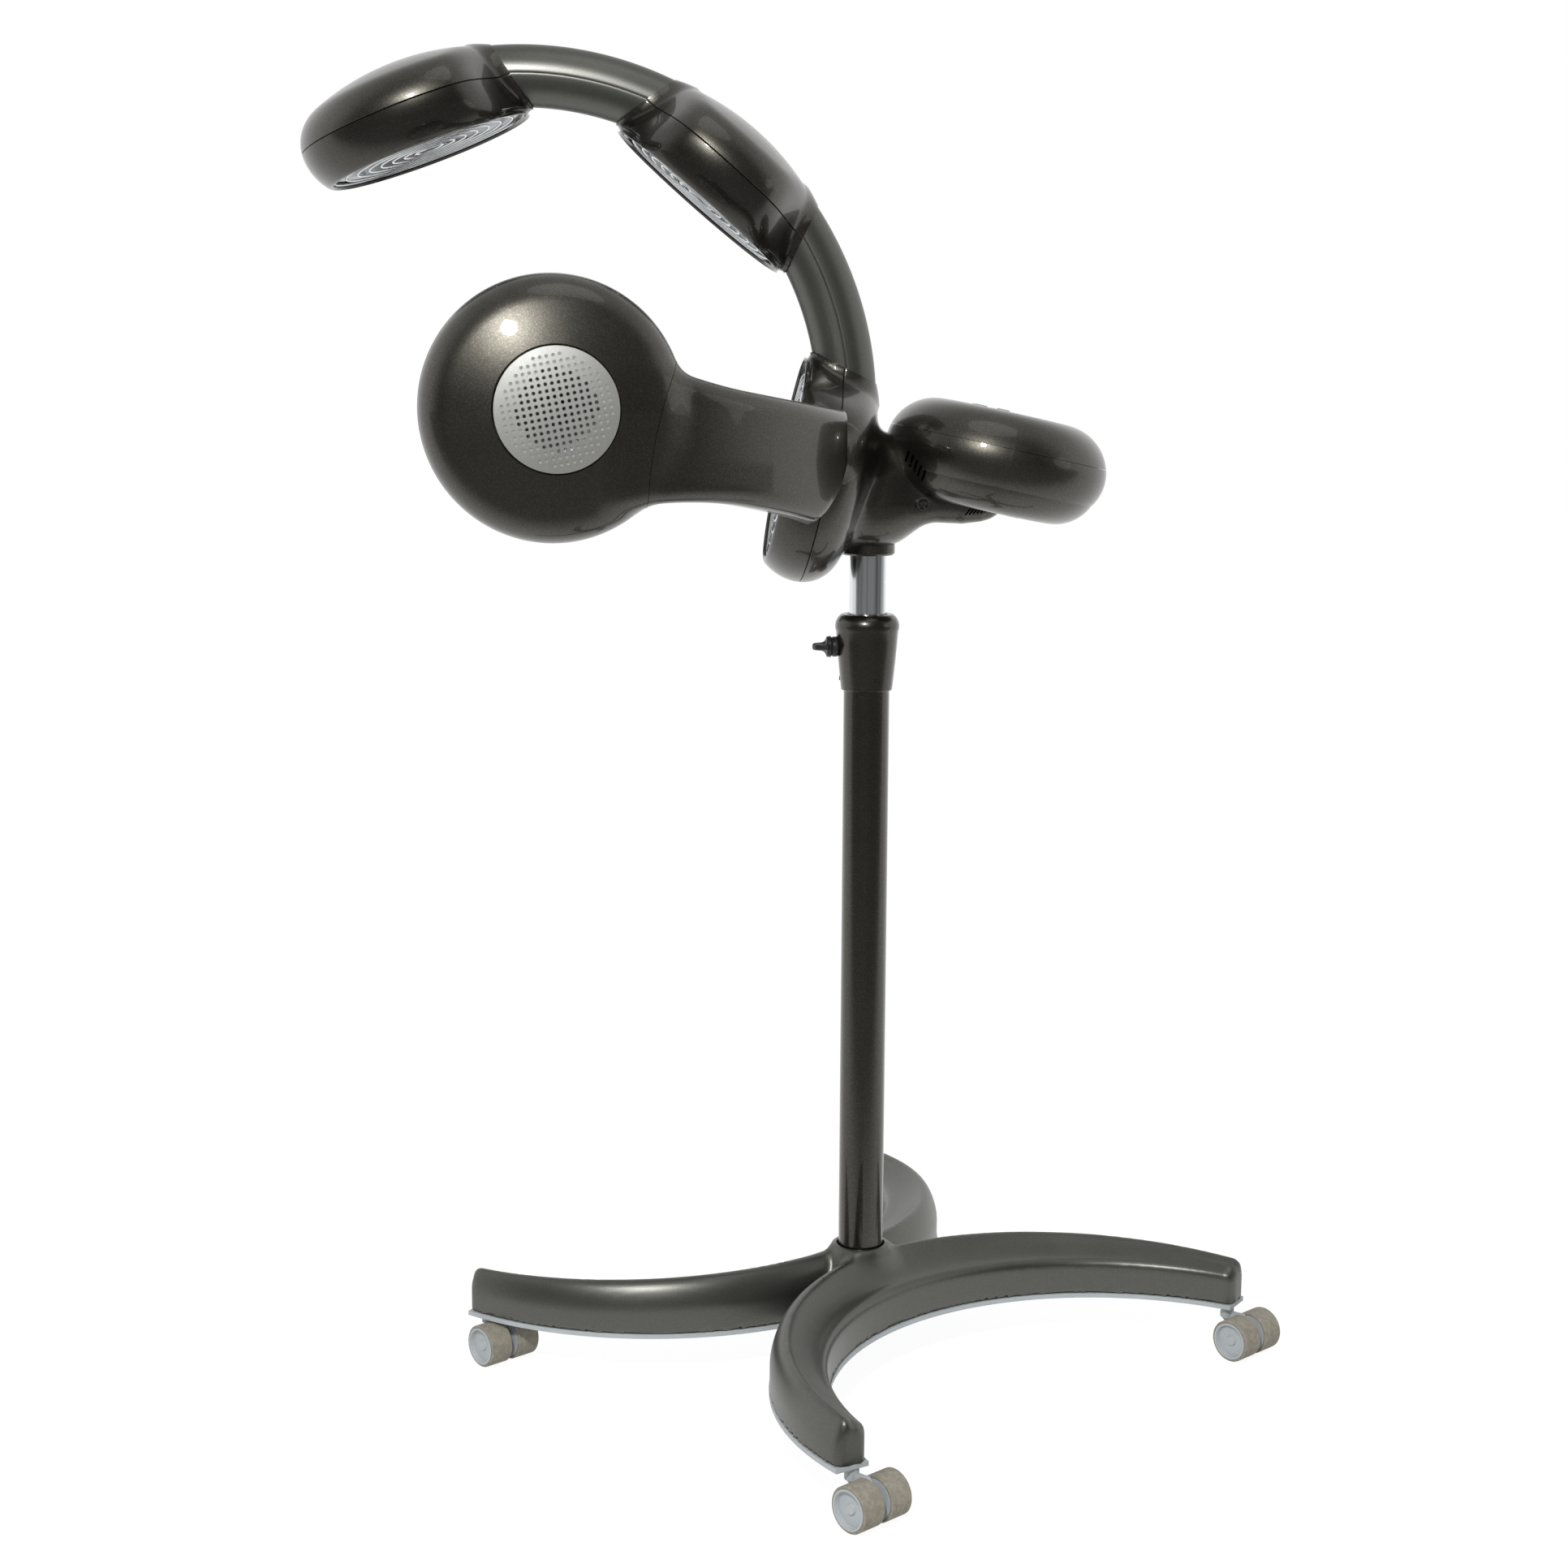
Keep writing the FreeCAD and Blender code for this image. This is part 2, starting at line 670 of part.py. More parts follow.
def caster(index, angle):
    """Swivel fork, two rims and two tyres; local X is the trail."""
    tag = "caster_%d_" % index
    place = FreeCAD.Placement(caster_spot(angle), FreeCAD.Rotation(V(0, 0, 1), num(caster_angle)))
    fork = new_body(tag + "frame")
    stem = new_sketch(fork, "XY_Plane", tag + "stem")
    circle(stem, 0.0, 0.0, stem_radius)
    stem_foot = wheel_radius * 2 - 10
    pad(fork, stem, trim_bottom - stem_foot - fixed_gap)
    stem.AttachmentOffset = shift(z=stem_foot)
    pin = new_sketch(fork, "XY_Plane", tag + "pin", shift(z=trim_bottom - 2))
    circle(pin, 0.0, 0.0, pin_radius)
    pad(fork, pin, pin_height)
    web = new_sketch(fork, "XZ_Plane", tag + "web")
    outline(web, [(-stem_radius, stem_foot), (-stem_radius, trim_bottom - 7),
                  (caster_trail - 6, trim_bottom - 5),
                  (caster_trail + 8, wheel_radius + 6, caster_trail + 9, wheel_radius - 4),
                  (caster_trail - 4, wheel_radius - 8)])
    pad(fork, web, wheel_gap - 1.6, both=True)
    axle = new_sketch(fork, "XZ_Plane", tag + "axle")
    circle(axle, caster_trail, wheel_radius, axle_radius)
    pad(fork, axle, wheel_gap + 2 * wheel_width - 16, both=True)
    fork.Placement = place
    node(fork)
    hub = place.multiply(FreeCAD.Placement(V(num(caster_trail), 0, num(wheel_radius)), FreeCAD.Rotation()))
    halves = {"rims": [], "tyres": []}
    for side in (0, 1):
        spin = hub.multiply(FreeCAD.Placement(V(0, 0, 0), FreeCAD.Rotation(V(0, 0, 1), 180 * side)))
        rim = new_body("%srim_%d" % (tag, side))
        profile = new_sketch(rim, "XY_Plane", "%srim_profile_%d" % (tag, side))
        start = half_gap
        stop = half_gap + wheel_width
        bore = axle_radius + run_gap
        outline(profile, [
            (bore, start), (rim_radius, start), (rim_radius, stop), (rim_radius - 2, stop),
            (rim_radius - 3.5, stop - 5), (6.0, stop - 5), (5.0, stop - 3), (0.0, stop - 3),
            (0.0, stop - 7), (bore, stop - 7)])
        turn(rim, profile)
        rim.Placement = spin
        halves["rims"].append(rim)
        tyre = new_body("%styre_%d" % (tag, side))
        profile = new_sketch(tyre, "XY_Plane", "%styre_profile_%d" % (tag, side))
        outline(profile, [
            (rim_radius + fixed_gap, start + 0.5), (wheel_radius - 1.2, start + 0.5),
            (wheel_radius, start + 1.7), (wheel_radius, stop - 1.8),
            (wheel_radius - 1.2, stop - 0.6), (rim_radius + fixed_gap, stop - 0.6)])
        turn(tyre, profile)
        tyre.Placement = spin
        halves["tyres"].append(tyre)
    for kind, pair in halves.items():
        node(group(tag + kind, pair))


for k, angle in enumerate(caster_angles):
    caster(k + 1, angle)

# ---------------------------------------------------------------- lamps
# Local X runs from the client's head through the middle of the lamp.
crown = derived("crown", lamp_distance + dome_depth)
parting = derived("parting", lamp_distance + parting_depth)
dome_rise = derived("dome_rise", dome_depth - parting_depth)


def dome_outline(sketch, grow, rear=None):
    """Back half of a lamp as a filled profile; grow moves its skin outwards."""
    start = [(parting, 0.0)] if rear is None else [(rear, 0.0), (rear, lamp_radius + grow)]
    outline(sketch, start + [
        (parting, lamp_radius + grow, parting + dome_rise * 0.42 + grow * 0.7,
         lamp_radius * 0.925 + grow * 0.7),
        (parting + dome_rise * 0.65 + grow, lamp_radius * 0.79 + grow * 0.5, H_AXIS),
        (crown + grow, 0.0)])


def ring_outline(sketch, grow):
    """Front half of a lamp, filled from its lip to the parting plane."""
    outline(sketch, [
        (lamp_distance - 2 - grow, 0.0), (lamp_distance - 2 - grow, opening_radius + 3 + grow),
        (lamp_distance + 1 - grow, opening_radius + 6 + grow,
         lamp_distance + parting_depth * 0.42, lamp_radius * 0.975 + grow),
        (parting - seam_gap / 2 + grow, lamp_radius + grow),
        (parting - seam_gap / 2 + grow, 0.0)])


def solid_of(name, draw, place, *values):
    """A filled body turned about the lamp's axis."""
    body = new_body(name)
    sketch = new_sketch(body, "XY_Plane", name + "_profile")
    draw(sketch, *values)
    turn(body, sketch, "H_Axis")
    body.Placement = place
    return body


facet_near = opening_radius + 9
facet_lean = 0.243


def add_facets(body, sides, inset):
    """Flatten the lamp's edge where a tube of the arch leaves it."""
    for side in sides:
        sketch = new_sketch(body, "XY_Plane", "%s_facet_%d" % (body.Name, side + 1))
        low = lamp_distance - 30
        high = crown + 30
        line_low = (facet_near + 30 * facet_lean - inset) * side
        line_high = (facet_near - (dome_depth + 30) * facet_lean - inset) * side
        outline(sketch, [(low, line_low), (high, line_high), (high, lamp_radius * 1.5 * side),
                         (low, lamp_radius * 1.5 * side)])
        pad(body, sketch, lamp_radius * 3, cut=True, both=True)


passage_start = size("passage_start", 12.0)
passage_sweep = 16.0


def tube_passage(name, place, side):
    """Room for the end of an arch tube in a lamp's edge."""
    start = num(passage_start) - 0.2 if side > 0 else -num(passage_start) - passage_sweep + 0.2
    ring = torus(name, arch_radius, tube_radius + fixed_gap,
                 place.multiply(FreeCAD.Placement(V(0, 0, 0), FreeCAD.Rotation(V(0, 0, 1), start))))
    ring.Angle3 = passage_sweep
    return ring


def lamp_shell(tag, place, sides):
    """Domed back of a lamp: skin less the room inside it."""
    skin = solid_of(tag + "_skin", dome_outline, place, 0.0)
    room = solid_of(tag + "_room", dome_outline, place, -shell_wall, parting - 1)
    add_facets(skin, sides, 0.0)
    add_facets(room, sides, shell_wall)
    cuts = [room] + [tube_passage("%s_shell_pass_%d" % (tag, s + 1), place, s) for s in sides]
    return boolean("Cut", tag + "_shell", skin, cuts)


def lamp_bezel(tag, place, sides):
    """Front ring of a lamp with the lip that holds its grille."""
    skin = solid_of(tag + "_front", ring_outline, place, 0.0)
    add_facets(skin, sides, 0.0)
    room = new_body(tag + "_front_room")
    sketch = new_sketch(room, "XY_Plane", tag + "_front_room_profile")
    lip = lamp_distance + 5
    outline(sketch, [
        (lamp_distance - 3, 0.0), (lamp_distance - 3, opening_radius - 1), (lip, opening_radius - 1),
        (lip, opening_radius + 3, lamp_distance + parting_depth * 0.5, lamp_radius * 0.95),
        (parting + 1, lamp_radius - shell_wall), (parting + 1, 0.0)])
    turn(room, sketch, "H_Axis")
    room.Placement = place
    cuts = [room] + [tube_passage("%s_front_pass_%d" % (tag, s + 1), place, s) for s in sides]
    return boolean("Cut", tag + "_bezel", skin, cuts)


across = FreeCAD.Placement(V(0, 0, 0), FreeCAD.Rotation(V(0, 1, 0), 90))
ring_count = 8


def lamp_grille(name, place):
    """Wire rings one inside the other on two crossing rods."""
    level = num(lamp_distance) + 2.2
    face = place.multiply(FreeCAD.Placement(V(level, 0, 0), across.Rotation))
    outer = opening_radius - 1.05 - wire_radius
    parts = [torus("%s_ring_%d" % (name, k), outer - k * ring_pitch, wire_radius, face)
             for k in range(ring_count)]
    for k in (0, 1):
        rod_face = place.multiply(turned(V(1, 0, 0), 45 + 90 * k))
        start = FreeCAD.Placement(V(level + 1.6, 0, -num(outer)), FreeCAD.Rotation())
        parts.append(cylinder("%s_rod_%d" % (name, k), wire_radius, 2 * outer, rod_face.multiply(start)))
    return fuse(name, parts)


def lamp_reflector(name, place):
    """Thin dish behind the elements, flanged at the lip of the front ring."""
    body = new_body(name)
    sketch = new_sketch(body, "XY_Plane", name + "_profile")
    base = lamp_distance + 5 + fixed_gap
    rim = opening_radius - 4
    deep = lamp_distance + parting_depth * 0.86
    outline(sketch, [
        (base, opening_radius + 2), (base, rim, base + 17, rim * 0.9), (deep - 1, rim * 0.63),
        (deep, 0.0), (deep + 1, 0.0), (deep, rim * 0.64, base + 18, rim * 0.915),
        (base + 1, rim + 0.9), (base + 1, opening_radius + 2)])
    turn(body, sketch, "H_Axis")
    body.Placement = place
    return body


def lamp_element(name, place):
    """Two ring elements on stand-offs, joined by their terminal bridge."""
    level = lamp_distance + 20
    deep = lamp_distance + parting_depth * 0.86 - 1.3
    face = place.multiply(FreeCAD.Placement(V(num(level), 0, 0), across.Rotation))
    large = opening_radius * 0.6
    small = opening_radius * 0.34
    parts = [torus(name + "_large", large, element_radius, face),
             torus(name + "_small", small, element_radius, face)]
    for k in range(3):
        spin = place.multiply(turned(V(1, 0, 0), 120 * k + 30))
        for kind, reach, stop in (("outer", large, deep - 0.6), ("inner", small, deep - 0.4)):
            at = FreeCAD.Placement(V(num(level), num(reach), 0), across.Rotation)
            parts.append(cylinder("%s_%s_%d" % (name, kind, k), 2.0, stop - level, spin.multiply(at)))
    bridge = block(name + "_bridge", 5.0, large - small, 8.0,
                   place.multiply(FreeCAD.Placement(V(num(level), num(small), -4), FreeCAD.Rotation())))
    return fuse(name, parts + [bridge])


arch_tags = (("rear_lamp", (1,)), ("mid_lamp", (-1, 1)), ("front_lamp", (-1,)))
hinge_spot = V(num(hinge_reach),
               -num(head_offset) + math.sqrt(num(arch_radius) ** 2 - num(hinge_reach) ** 2),
               num(head_height) - num(hinge_drop))
knuckle_base = hinge_spot.z - num(knuckle_height) / 2
lug_middle = hinge_spot.z + num(lug_lift)
notches = []
for k, side in enumerate((-1, 1)):
    spot = V(hinge_spot.x * side, hinge_spot.y, knuckle_base - 1.5)
    notches.append(cylinder("hinge_notch_%d" % k, knuckle_radius + 1.5, knuckle_height + 3,
                            FreeCAD.Placement(spot, FreeCAD.Rotation())))
bar_y = hinge_spot.y + 19
bar_room = block("bar_room", 2 * hinge_reach, 19.0, lug_height + 3,
                 shift(-num(hinge_reach), bar_y - 6, lug_middle - num(lug_height) / 2 - 1.5))
core_room = block("core_room", 60.0, 45.0, lug_height + 34,
                  shift(-30, bar_y, lug_middle - num(lug_height) / 2 - 31))
post_radius = mast_radius + 5
mast_groove = cylinder("mast_groove", post_radius + 0.4, 120.0, shift(z=num(hub_bottom) - 20))
ring_groove = cylinder("ring_groove", ring_radius + 0.4, ring_height + 20.4, shift(z=num(hub_bottom) - 20))

grilles, reflectors, elements = [], [], []
for tag, sides in arch_tags:
    place = frames[tag]
    shell = lamp_shell(tag, place, sides)
    bezel = lamp_bezel(tag, place, sides)
    if tag == "rear_lamp":
        shell.Label = "rear_lamp_shell_whole"
        bezel.Label = "rear_lamp_bezel_whole"
        opened = boolean("Cut", "rear_shell_opened", shell,
                         notches + [bar_room, core_room, mast_groove, ring_groove])
        opened.Label = "rear_lamp_shell"
        notched = boolean("Cut", "rear_bezel_notched", bezel, [fuse("both_notches", notches)])
        notched.Label = "rear_lamp_bezel"
        shell, bezel = opened, notched
    node(shell)
    node(bezel)
    grilles.append(lamp_grille(tag + "_grille", place))
    reflectors.append(lamp_reflector(tag + "_reflector", place))
    elements.append(lamp_element(tag + "_element", place))
node(group("arch_grilles", grilles))
node(group("arch_reflectors", reflectors))
node(group("arch_elements", elements))

# ---------------------------------------------------------------- arch tubes
insertion = 8.0


def end_block(name, place, side):
    """What lies further into a lamp than the end of the tube, which runs parallel to the facet."""
    spin = FreeCAD.Rotation(V(0, 0, 1), -math.degrees(math.atan(facet_lean)) * side)
    spot = V(num(lamp_distance), num(facet_near - insertion) * side, -50)
    corner = shift(-60, -120 if side > 0 else 0)
    return block(name, 260.0, 120.0, 100.0, place.multiply(FreeCAD.Placement(spot, spin)).multiply(corner))


for name, start_angle in (("arch_lower_tube", rear_angle), ("arch_upper_tube", mid_angle)):
    tube = new_body(name + "_bend")
    ring = new_sketch(tube, "XZ_Plane", name + "_ring")
    circle(ring, arch_radius, 0.0, tube_radius)
    circle(ring, arch_radius, 0.0, tube_radius - tube_wall)
    turn(tube, ring, "V_Axis", lamp_pitch - 2 * passage_start)
    tube.Placement = arch_frame(start_angle + passage_start)
    ends = [end_block(name + "_low_end", arch_frame(start_angle), 1),
            end_block(name + "_high_end", arch_frame(start_angle + lamp_pitch), -1)]
    trimmed = boolean("Cut", name, tube, ends)
    node(trimmed)

# ---------------------------------------------------------------- right lamp and arm
place = frames["right_lamp"]
arm_seam_drop = size("arm_seam_drop", 12.4)
arm_seam_radius = size("arm_seam_radius", 330.0)
arm_seam_reach = size("arm_seam_reach", 97.0)
arm_pod_height = size("arm_pod_height", 140.0)
arm_neck_height = size("arm_neck_height", 111.0)
arm_pod_drop = size("arm_pod_drop", 20.0)
arm_thickness = size("arm_thickness", 46.0)
seam_centre = place.multiply(turned(V(1, 0, 0), -num(arm_seam_drop))).multiply(
    FreeCAD.Placement(V(200, num(arm_seam_reach) + num(arm_seam_radius), 0), across.Rotation))

shell = lamp_shell("right_lamp", place, ())
shell.Label = "right_shell_whole"
seam_tool = cylinder("seam_tool", arm_seam_radius + seam_gap, 300.0, seam_centre)
vent_room = cylinder("vent_room", vent_radius + 0.35, 30.0,
                     place.multiply(FreeCAD.Placement(V(num(crown) - 20, 0, 0), across.Rotation)))
shell_cut = boolean("Cut", "right_shell_cut", shell, [seam_tool, vent_room])
ledge = new_body("vent_ledge")
sketch = new_sketch(ledge, "XY_Plane", "vent_ledge_profile")
ledge_level = crown - 9
outline(sketch, [(ledge_level - 2, vent_radius - 5), (ledge_level, vent_radius - 5),
                 (ledge_level, vent_radius + 0.35),
                 (ledge_level + 2, vent_radius + 0.35), (ledge_level + 0.5, vent_radius + 3.5),
                 (ledge_level - 2, vent_radius + 3.5)])
turn(ledge, sketch, "H_Axis")
ledge.Placement = place
right_shell = fuse("right_shell_full", [shell_cut, ledge])
right_shell.Label = "right_lamp_shell"
node(right_shell)
bezel = lamp_bezel("right_lamp", place, ())
node(bezel)
right_grille = node(lamp_grille("right_lamp_grille", place))
right_reflector = node(lamp_reflector("right_lamp_reflector", place))
right_element = node(lamp_element("right_lamp_element", place))

# vent disc: a shallow cap with a skirt, drilled on a square grid
vent = new_body("vent_cap")
sketch = new_sketch(vent, "XY_Plane", "vent_cap_profile")
edge = crown - 4.2
outline(sketch, [
    (crown - 1.6, 0.0, H_AXIS), (edge - 1.6, vent_radius - 2),
    (ledge_level + fixed_gap, vent_radius - 2), (ledge_level + fixed_gap, vent_radius),
    (edge, vent_radius, H_AXIS), (crown, 0.0)])
turn(vent, sketch, "H_Axis")
vent.Placement = place
drills = []
steps = int(num(vent_radius) / num(vent_pitch)) + 1
for row in range(-steps, steps + 1):
    for column_step in range(-steps, steps + 1):
        y = row * num(vent_pitch)
        z = column_step * num(vent_pitch)
        reach = math.hypot(y, z)
        if reach > num(vent_radius) * 0.88:
            continue
        through = reach < num(vent_radius) * 0.66
        skin = num(crown) - 4.2 * (reach / num(vent_radius)) ** 2
        start = skin - (8.0 if through else 0.7)
        drills.append(Part.makeCylinder(num(vent_hole_radius), 16.0, V(start, y, z), V(1, 0, 0)))
drill_set = doc.addObject("Part::Feature", "vent_drills")
drill_set.Shape = Part.makeCompound(drills)
drill_set.Placement = place.multiply(turned(V(1, 0, 0), 11))
right_vent = boolean("Cut", "right_vent_disc", vent, [drill_set])
node(right_vent)

# arm: hollow loft along the circle about the client's head, with a hinge knuckle
arm_root = math.degrees(math.acos(num(hinge_reach) / num(arch_radius)))
arm_start = 20.0


def arm_section(body, share, name, inset):
    """Upright section of the arm; share runs from 0 at the lamp to 1 at the hinge."""
    middle = 0.42
    if share < middle:
        swell = ((middle - share) / middle) ** 2
        height = arm_neck_height + (arm_pod_height - arm_neck_height) * swell
    else:
        swell = ((share - middle) / (1 - middle)) ** 2
        height = arm_neck_height + (knuckle_height - 4 - arm_neck_height) * swell
    drop = arm_pod_drop + (hinge_drop - arm_pod_drop) * share
    angle = arm_start + (arm_root - arm_start) * share
    spin = FreeCAD.Rotation(V(0, 1, 0), angle)
    sketch = new_sketch(body, "XZ_Plane", name, FreeCAD.Placement(V(0, 0, 0), spin))
    half = arm_thickness / 2 - inset
    near = arch_radius - half
    far = arch_radius + half
    top = height / 2 - drop - inset
    low = -drop - height / 2 + inset
    round_off = arm_thickness * 0.4
    outline(sketch, [(near, low + round_off, arch_radius, low), (far, low + round_off),
                     (far, top - round_off, arch_radius, top), (near, top - round_off)])
    return sketch


arm_steps = (0.0, 0.2, 0.42, 0.65, 0.85, 1.0)
arm_place = FreeCAD.Placement(head, FreeCAD.Rotation())
arm_skin = new_body("arm_skin")
loft(arm_skin, [arm_section(arm_skin, s, "arm_rib_%d" % k, 0.0) for k, s in enumerate(arm_steps)])
arm_skin.Placement = arm_place
arm_room = new_body("arm_room")
loft(arm_room, [arm_section(arm_room, s * 0.93 - 0.02, "arm_core_%d" % k, shell_wall)
                for k, s in enumerate(arm_steps)])
arm_room.Placement = arm_place
knuckle = new_body("knuckle")
face = new_sketch(knuckle, "XY_Plane", "knuckle_face")
circle(face, 0.0, 0.0, knuckle_radius)
pad(knuckle, face, knuckle_height)
knuckle.Placement = FreeCAD.Placement(V(hinge_spot.x, hinge_spot.y, knuckle_base), FreeCAD.Rotation())
dome_piece = boolean("Cut", "dome_piece", shell, [vent_room])
arm_whole = fuse("arm_whole", [boolean("Cut", "arm_hollow", arm_skin, [arm_room]), knuckle, dome_piece])
seam_keep = cylinder("seam_keep", arm_seam_radius, 400.0, seam_centre.multiply(shift(z=-200)))
arm_kept = boolean("Common", "arm_kept", arm_whole, [seam_keep])
bezel_room = solid_of("bezel_room", ring_outline, place, fixed_gap)
pin_bore = cylinder("pin_bore", hinge_pin_radius + run_gap, knuckle_height + 4,
                    FreeCAD.Placement(V(hinge_spot.x, hinge_spot.y, knuckle_base - 2), FreeCAD.Rotation()))
lug_room = cylinder("lug_room", knuckle_radius + 3, lug_height + 0.8,
                    FreeCAD.Placement(V(hinge_spot.x, hinge_spot.y, lug_middle - num(lug_height) / 2 - 0.4),
                                      FreeCAD.Rotation()))
right_arm = boolean("Cut", "right_arm_shell", arm_kept, [bezel_room, pin_bore, lug_room])
node(right_arm)

for piece in ("lamp_shell", "lamp_bezel", "lamp_grille", "lamp_reflector", "lamp_element",
              "vent_disc", "arm_shell"):
    node(mirrored("left_" + piece, nodes["right_" + piece]))

# ---------------------------------------------------------------- hub
core = new_body("core_post")
sketch = new_sketch(core, "XZ_Plane", "core_profile")
core_bottom = hub_bottom + ring_height + fixed_gap
bore = mast_radius + run_gap
outline(sketch, [(bore, core_bottom), (post_radius, core_bottom), (post_radius, mast_top + 18),
                 (post_radius - 8, hub_crown - 10), (0.0, hub_crown - 10), (0.0, mast_top + run_gap),
                 (bore, mast_top + run_gap)])
turn(core, sketch)
bar = new_body("core_bar")
sketch = new_sketch(bar, "XY_Plane", "core_bar_plan")
bar_front = hinge_spot.y + 12
bar_back = hinge_spot.y + 26
outline(sketch, [
    (-14.0, 0.0), (-14.0, bar_back), (-(hinge_reach - 36), bar_back), (-(hinge_reach - 6), hinge_spot.y + 8),
    (-(hinge_reach - 6), hinge_spot.y - 8), (-(hinge_reach - 14), hinge_spot.y - 8),
    (-(hinge_reach - 28), bar_front - 2), (hinge_reach - 28, bar_front - 2),
    (hinge_reach - 14, hinge_spot.y - 8),
    (hinge_reach - 6, hinge_spot.y - 8), (hinge_reach - 6, hinge_spot.y + 8), (hinge_reach - 36, bar_back),
    (14.0, bar_back), (14.0, 0.0)])
pad(bar, sketch, lug_height)
bar.Placement = shift(z=lug_middle - num(lug_height) / 2)
pins = []
for k, side in enumerate((-1, 1)):
    spot = V(hinge_spot.x * side, hinge_spot.y, 0)
    lift = FreeCAD.Placement(spot + V(0, 0, knuckle_base + 4), FreeCAD.Rotation())
    pins.append(cylinder("hinge_pin_%d" % k, hinge_pin_radius, knuckle_height - 8, lift))
    lift = FreeCAD.Placement(spot + V(0, 0, lug_middle - num(lug_height) / 2), FreeCAD.Rotation())
    pins.append(cylinder("hinge_lug_%d" % k, knuckle_radius - 4, lug_height, lift))
node(fuse("hub_core", [core, bar] + pins))

swivel = new_body("swivel_ring")
sketch = new_sketch(swivel, "XZ_Plane", "swivel_profile")
outline(sketch, [(bore, hub_bottom), (ring_radius - 2, hub_bottom), (ring_radius, hub_bottom + 2),
                 (ring_radius, hub_bottom + ring_height), (bore, hub_bottom + ring_height)])
turn(swivel, sketch)
node(swivel)

control_place = FreeCAD.Placement(V(0, num(control_offset), num(control_height)),
                                  FreeCAD.Rotation(V(1, 0, 0), -num(control_tilt)))


def control_outline(sketch, grow):
    """Base and cover of the control housing in one filled profile."""
    outline(sketch, [
        (0.0, cover_rise + grow), (panel_radius + 4, cover_rise + grow,
                                   control_radius * 0.84 + grow, cover_rise * 0.72 + grow),
        (control_radius + grow, 0.0, control_radius + 1.5 + grow, -base_drop * 0.3),
        (control_radius * 0.94 + grow * 0.7, -base_drop * 0.6 - grow * 0.7,
         control_radius * 0.82 + grow * 0.5, -base_drop * 0.86 - grow * 0.8),
        (control_radius * 0.56, -base_drop - grow), (0.0, -base_drop - grow)])


def upright_solid(name, draw, place_at, *values):
    body = new_body(name)
    sketch = new_sketch(body, "XZ_Plane", name + "_profile")
    draw(sketch, *values)
    turn(body, sketch)
    body.Placement = place_at
    return body


bowl_bottom = hub_bottom + ring_height + fixed_gap
hub_bowl = new_body("hub_bowl")
sketch = new_sketch(hub_bowl, "XZ_Plane", "hub_bowl_profile")
bowl_radius = hub_radius + 20
outline(sketch, [
    (0.0, bowl_bottom), (ring_radius, bowl_bottom, V_AXIS), (bowl_radius, bowl_bottom + 42, V_AXIS),
    (bowl_radius - 16, hub_crown - 9, V_AXIS), (0.0, hub_crown)])
turn(hub_bowl, sketch)


def neck_section(body, name, y, width, low, high):
    sketch = new_sketch(body, "XZ_Plane", name, shift(z=-num(y)))
    half = width / 2
    rounding = (high - low) * 0.4
    outline(sketch, [(-half, low + rounding, 0.0, low), (half, low + rounding),
                     (half, high - rounding, 0.0, high), (-half, high - rounding)])
    return sketch


neck = new_body("hub_neck")
neck_width = size("neck_width", 96.0)
neck_lift = size("neck_lift", 33.0)
neck_low = derived("neck_low", hub_bottom + neck_lift)
loft(neck, [
    neck_section(neck, "neck_root", 8.0, neck_width - 16, neck_low - 12, hub_crown - 2),
    neck_section(neck, "neck_mid", 60.0, neck_width - 6, neck_low + 4, hub_crown - 8),
    neck_section(neck, "neck_belly", 98.0, neck_width, neck_low + 1, hub_crown - 40),
    neck_section(neck, "neck_end", 138.0, neck_width - 26, neck_low + 10, hub_crown - 56)])
hub_whole = fuse("hub_whole", [hub_bowl, neck])
rear_envelope = solid_of("rear_envelope", dome_outline, frames["rear_lamp"], 0.3, lamp_distance)
control_envelope = upright_solid("control_envelope", control_outline, control_place, 0.3)
hub_rooms = [
    cylinder("hub_room", hub_radius - 6, hub_crown - bowl_bottom - 16, shift(z=num(bowl_bottom) + 8)),
    cylinder("hub_grip", post_radius + 0.1, 20.0, shift(z=num(bowl_bottom) - 1)),
    block("hub_window", 56.0, 60.0, lug_height + 30, shift(-28, -70, lug_middle - num(lug_height) / 2 - 29)),
    cylinder("neck_room", 20.0, 100.0, FreeCAD.Placement(V(0, 10, num(neck_low) + 36),
                                                       FreeCAD.Rotation(V(1, 0, 0), -90)))]
inlet_spot = V(num(neck_width) / 2 - 8, 54.0, num(neck_low) + 24)
inlet_room = cylinder("inlet_room", 7.2, 30.0,
                      FreeCAD.Placement(inlet_spot, FreeCAD.Rotation(V(0, 1, 0), 90)))
node(boolean("Cut", "hub_shell", hub_whole, [rear_envelope, control_envelope, inlet_room] + hub_rooms))

inlet = new_body("power_inlet")
face = new_sketch(inlet, "XY_Plane", "inlet_face")
circle(face, 0.0, 0.0, 7.0)
pad(inlet, face, 9.0)
well = new_sketch(inlet, "XY_Plane", "inlet_well", shift(z=9.0))
circle(well, 0.0, 0.0, 5.6)
pad(inlet, well, 6.0, cut=True)
for k, y in enumerate((-2.2, 2.2)):
    prong = new_sketch(inlet, "XY_Plane", "inlet_prong_%d" % k, shift(z=3.0))
    circle(prong, 0.0, y, 0.9)
    pad(inlet, prong, 5.0)
inlet.Placement = FreeCAD.Placement(inlet_spot + V(0.2, 0, 0), FreeCAD.Rotation(V(0, 1, 0), 90))
node(inlet)

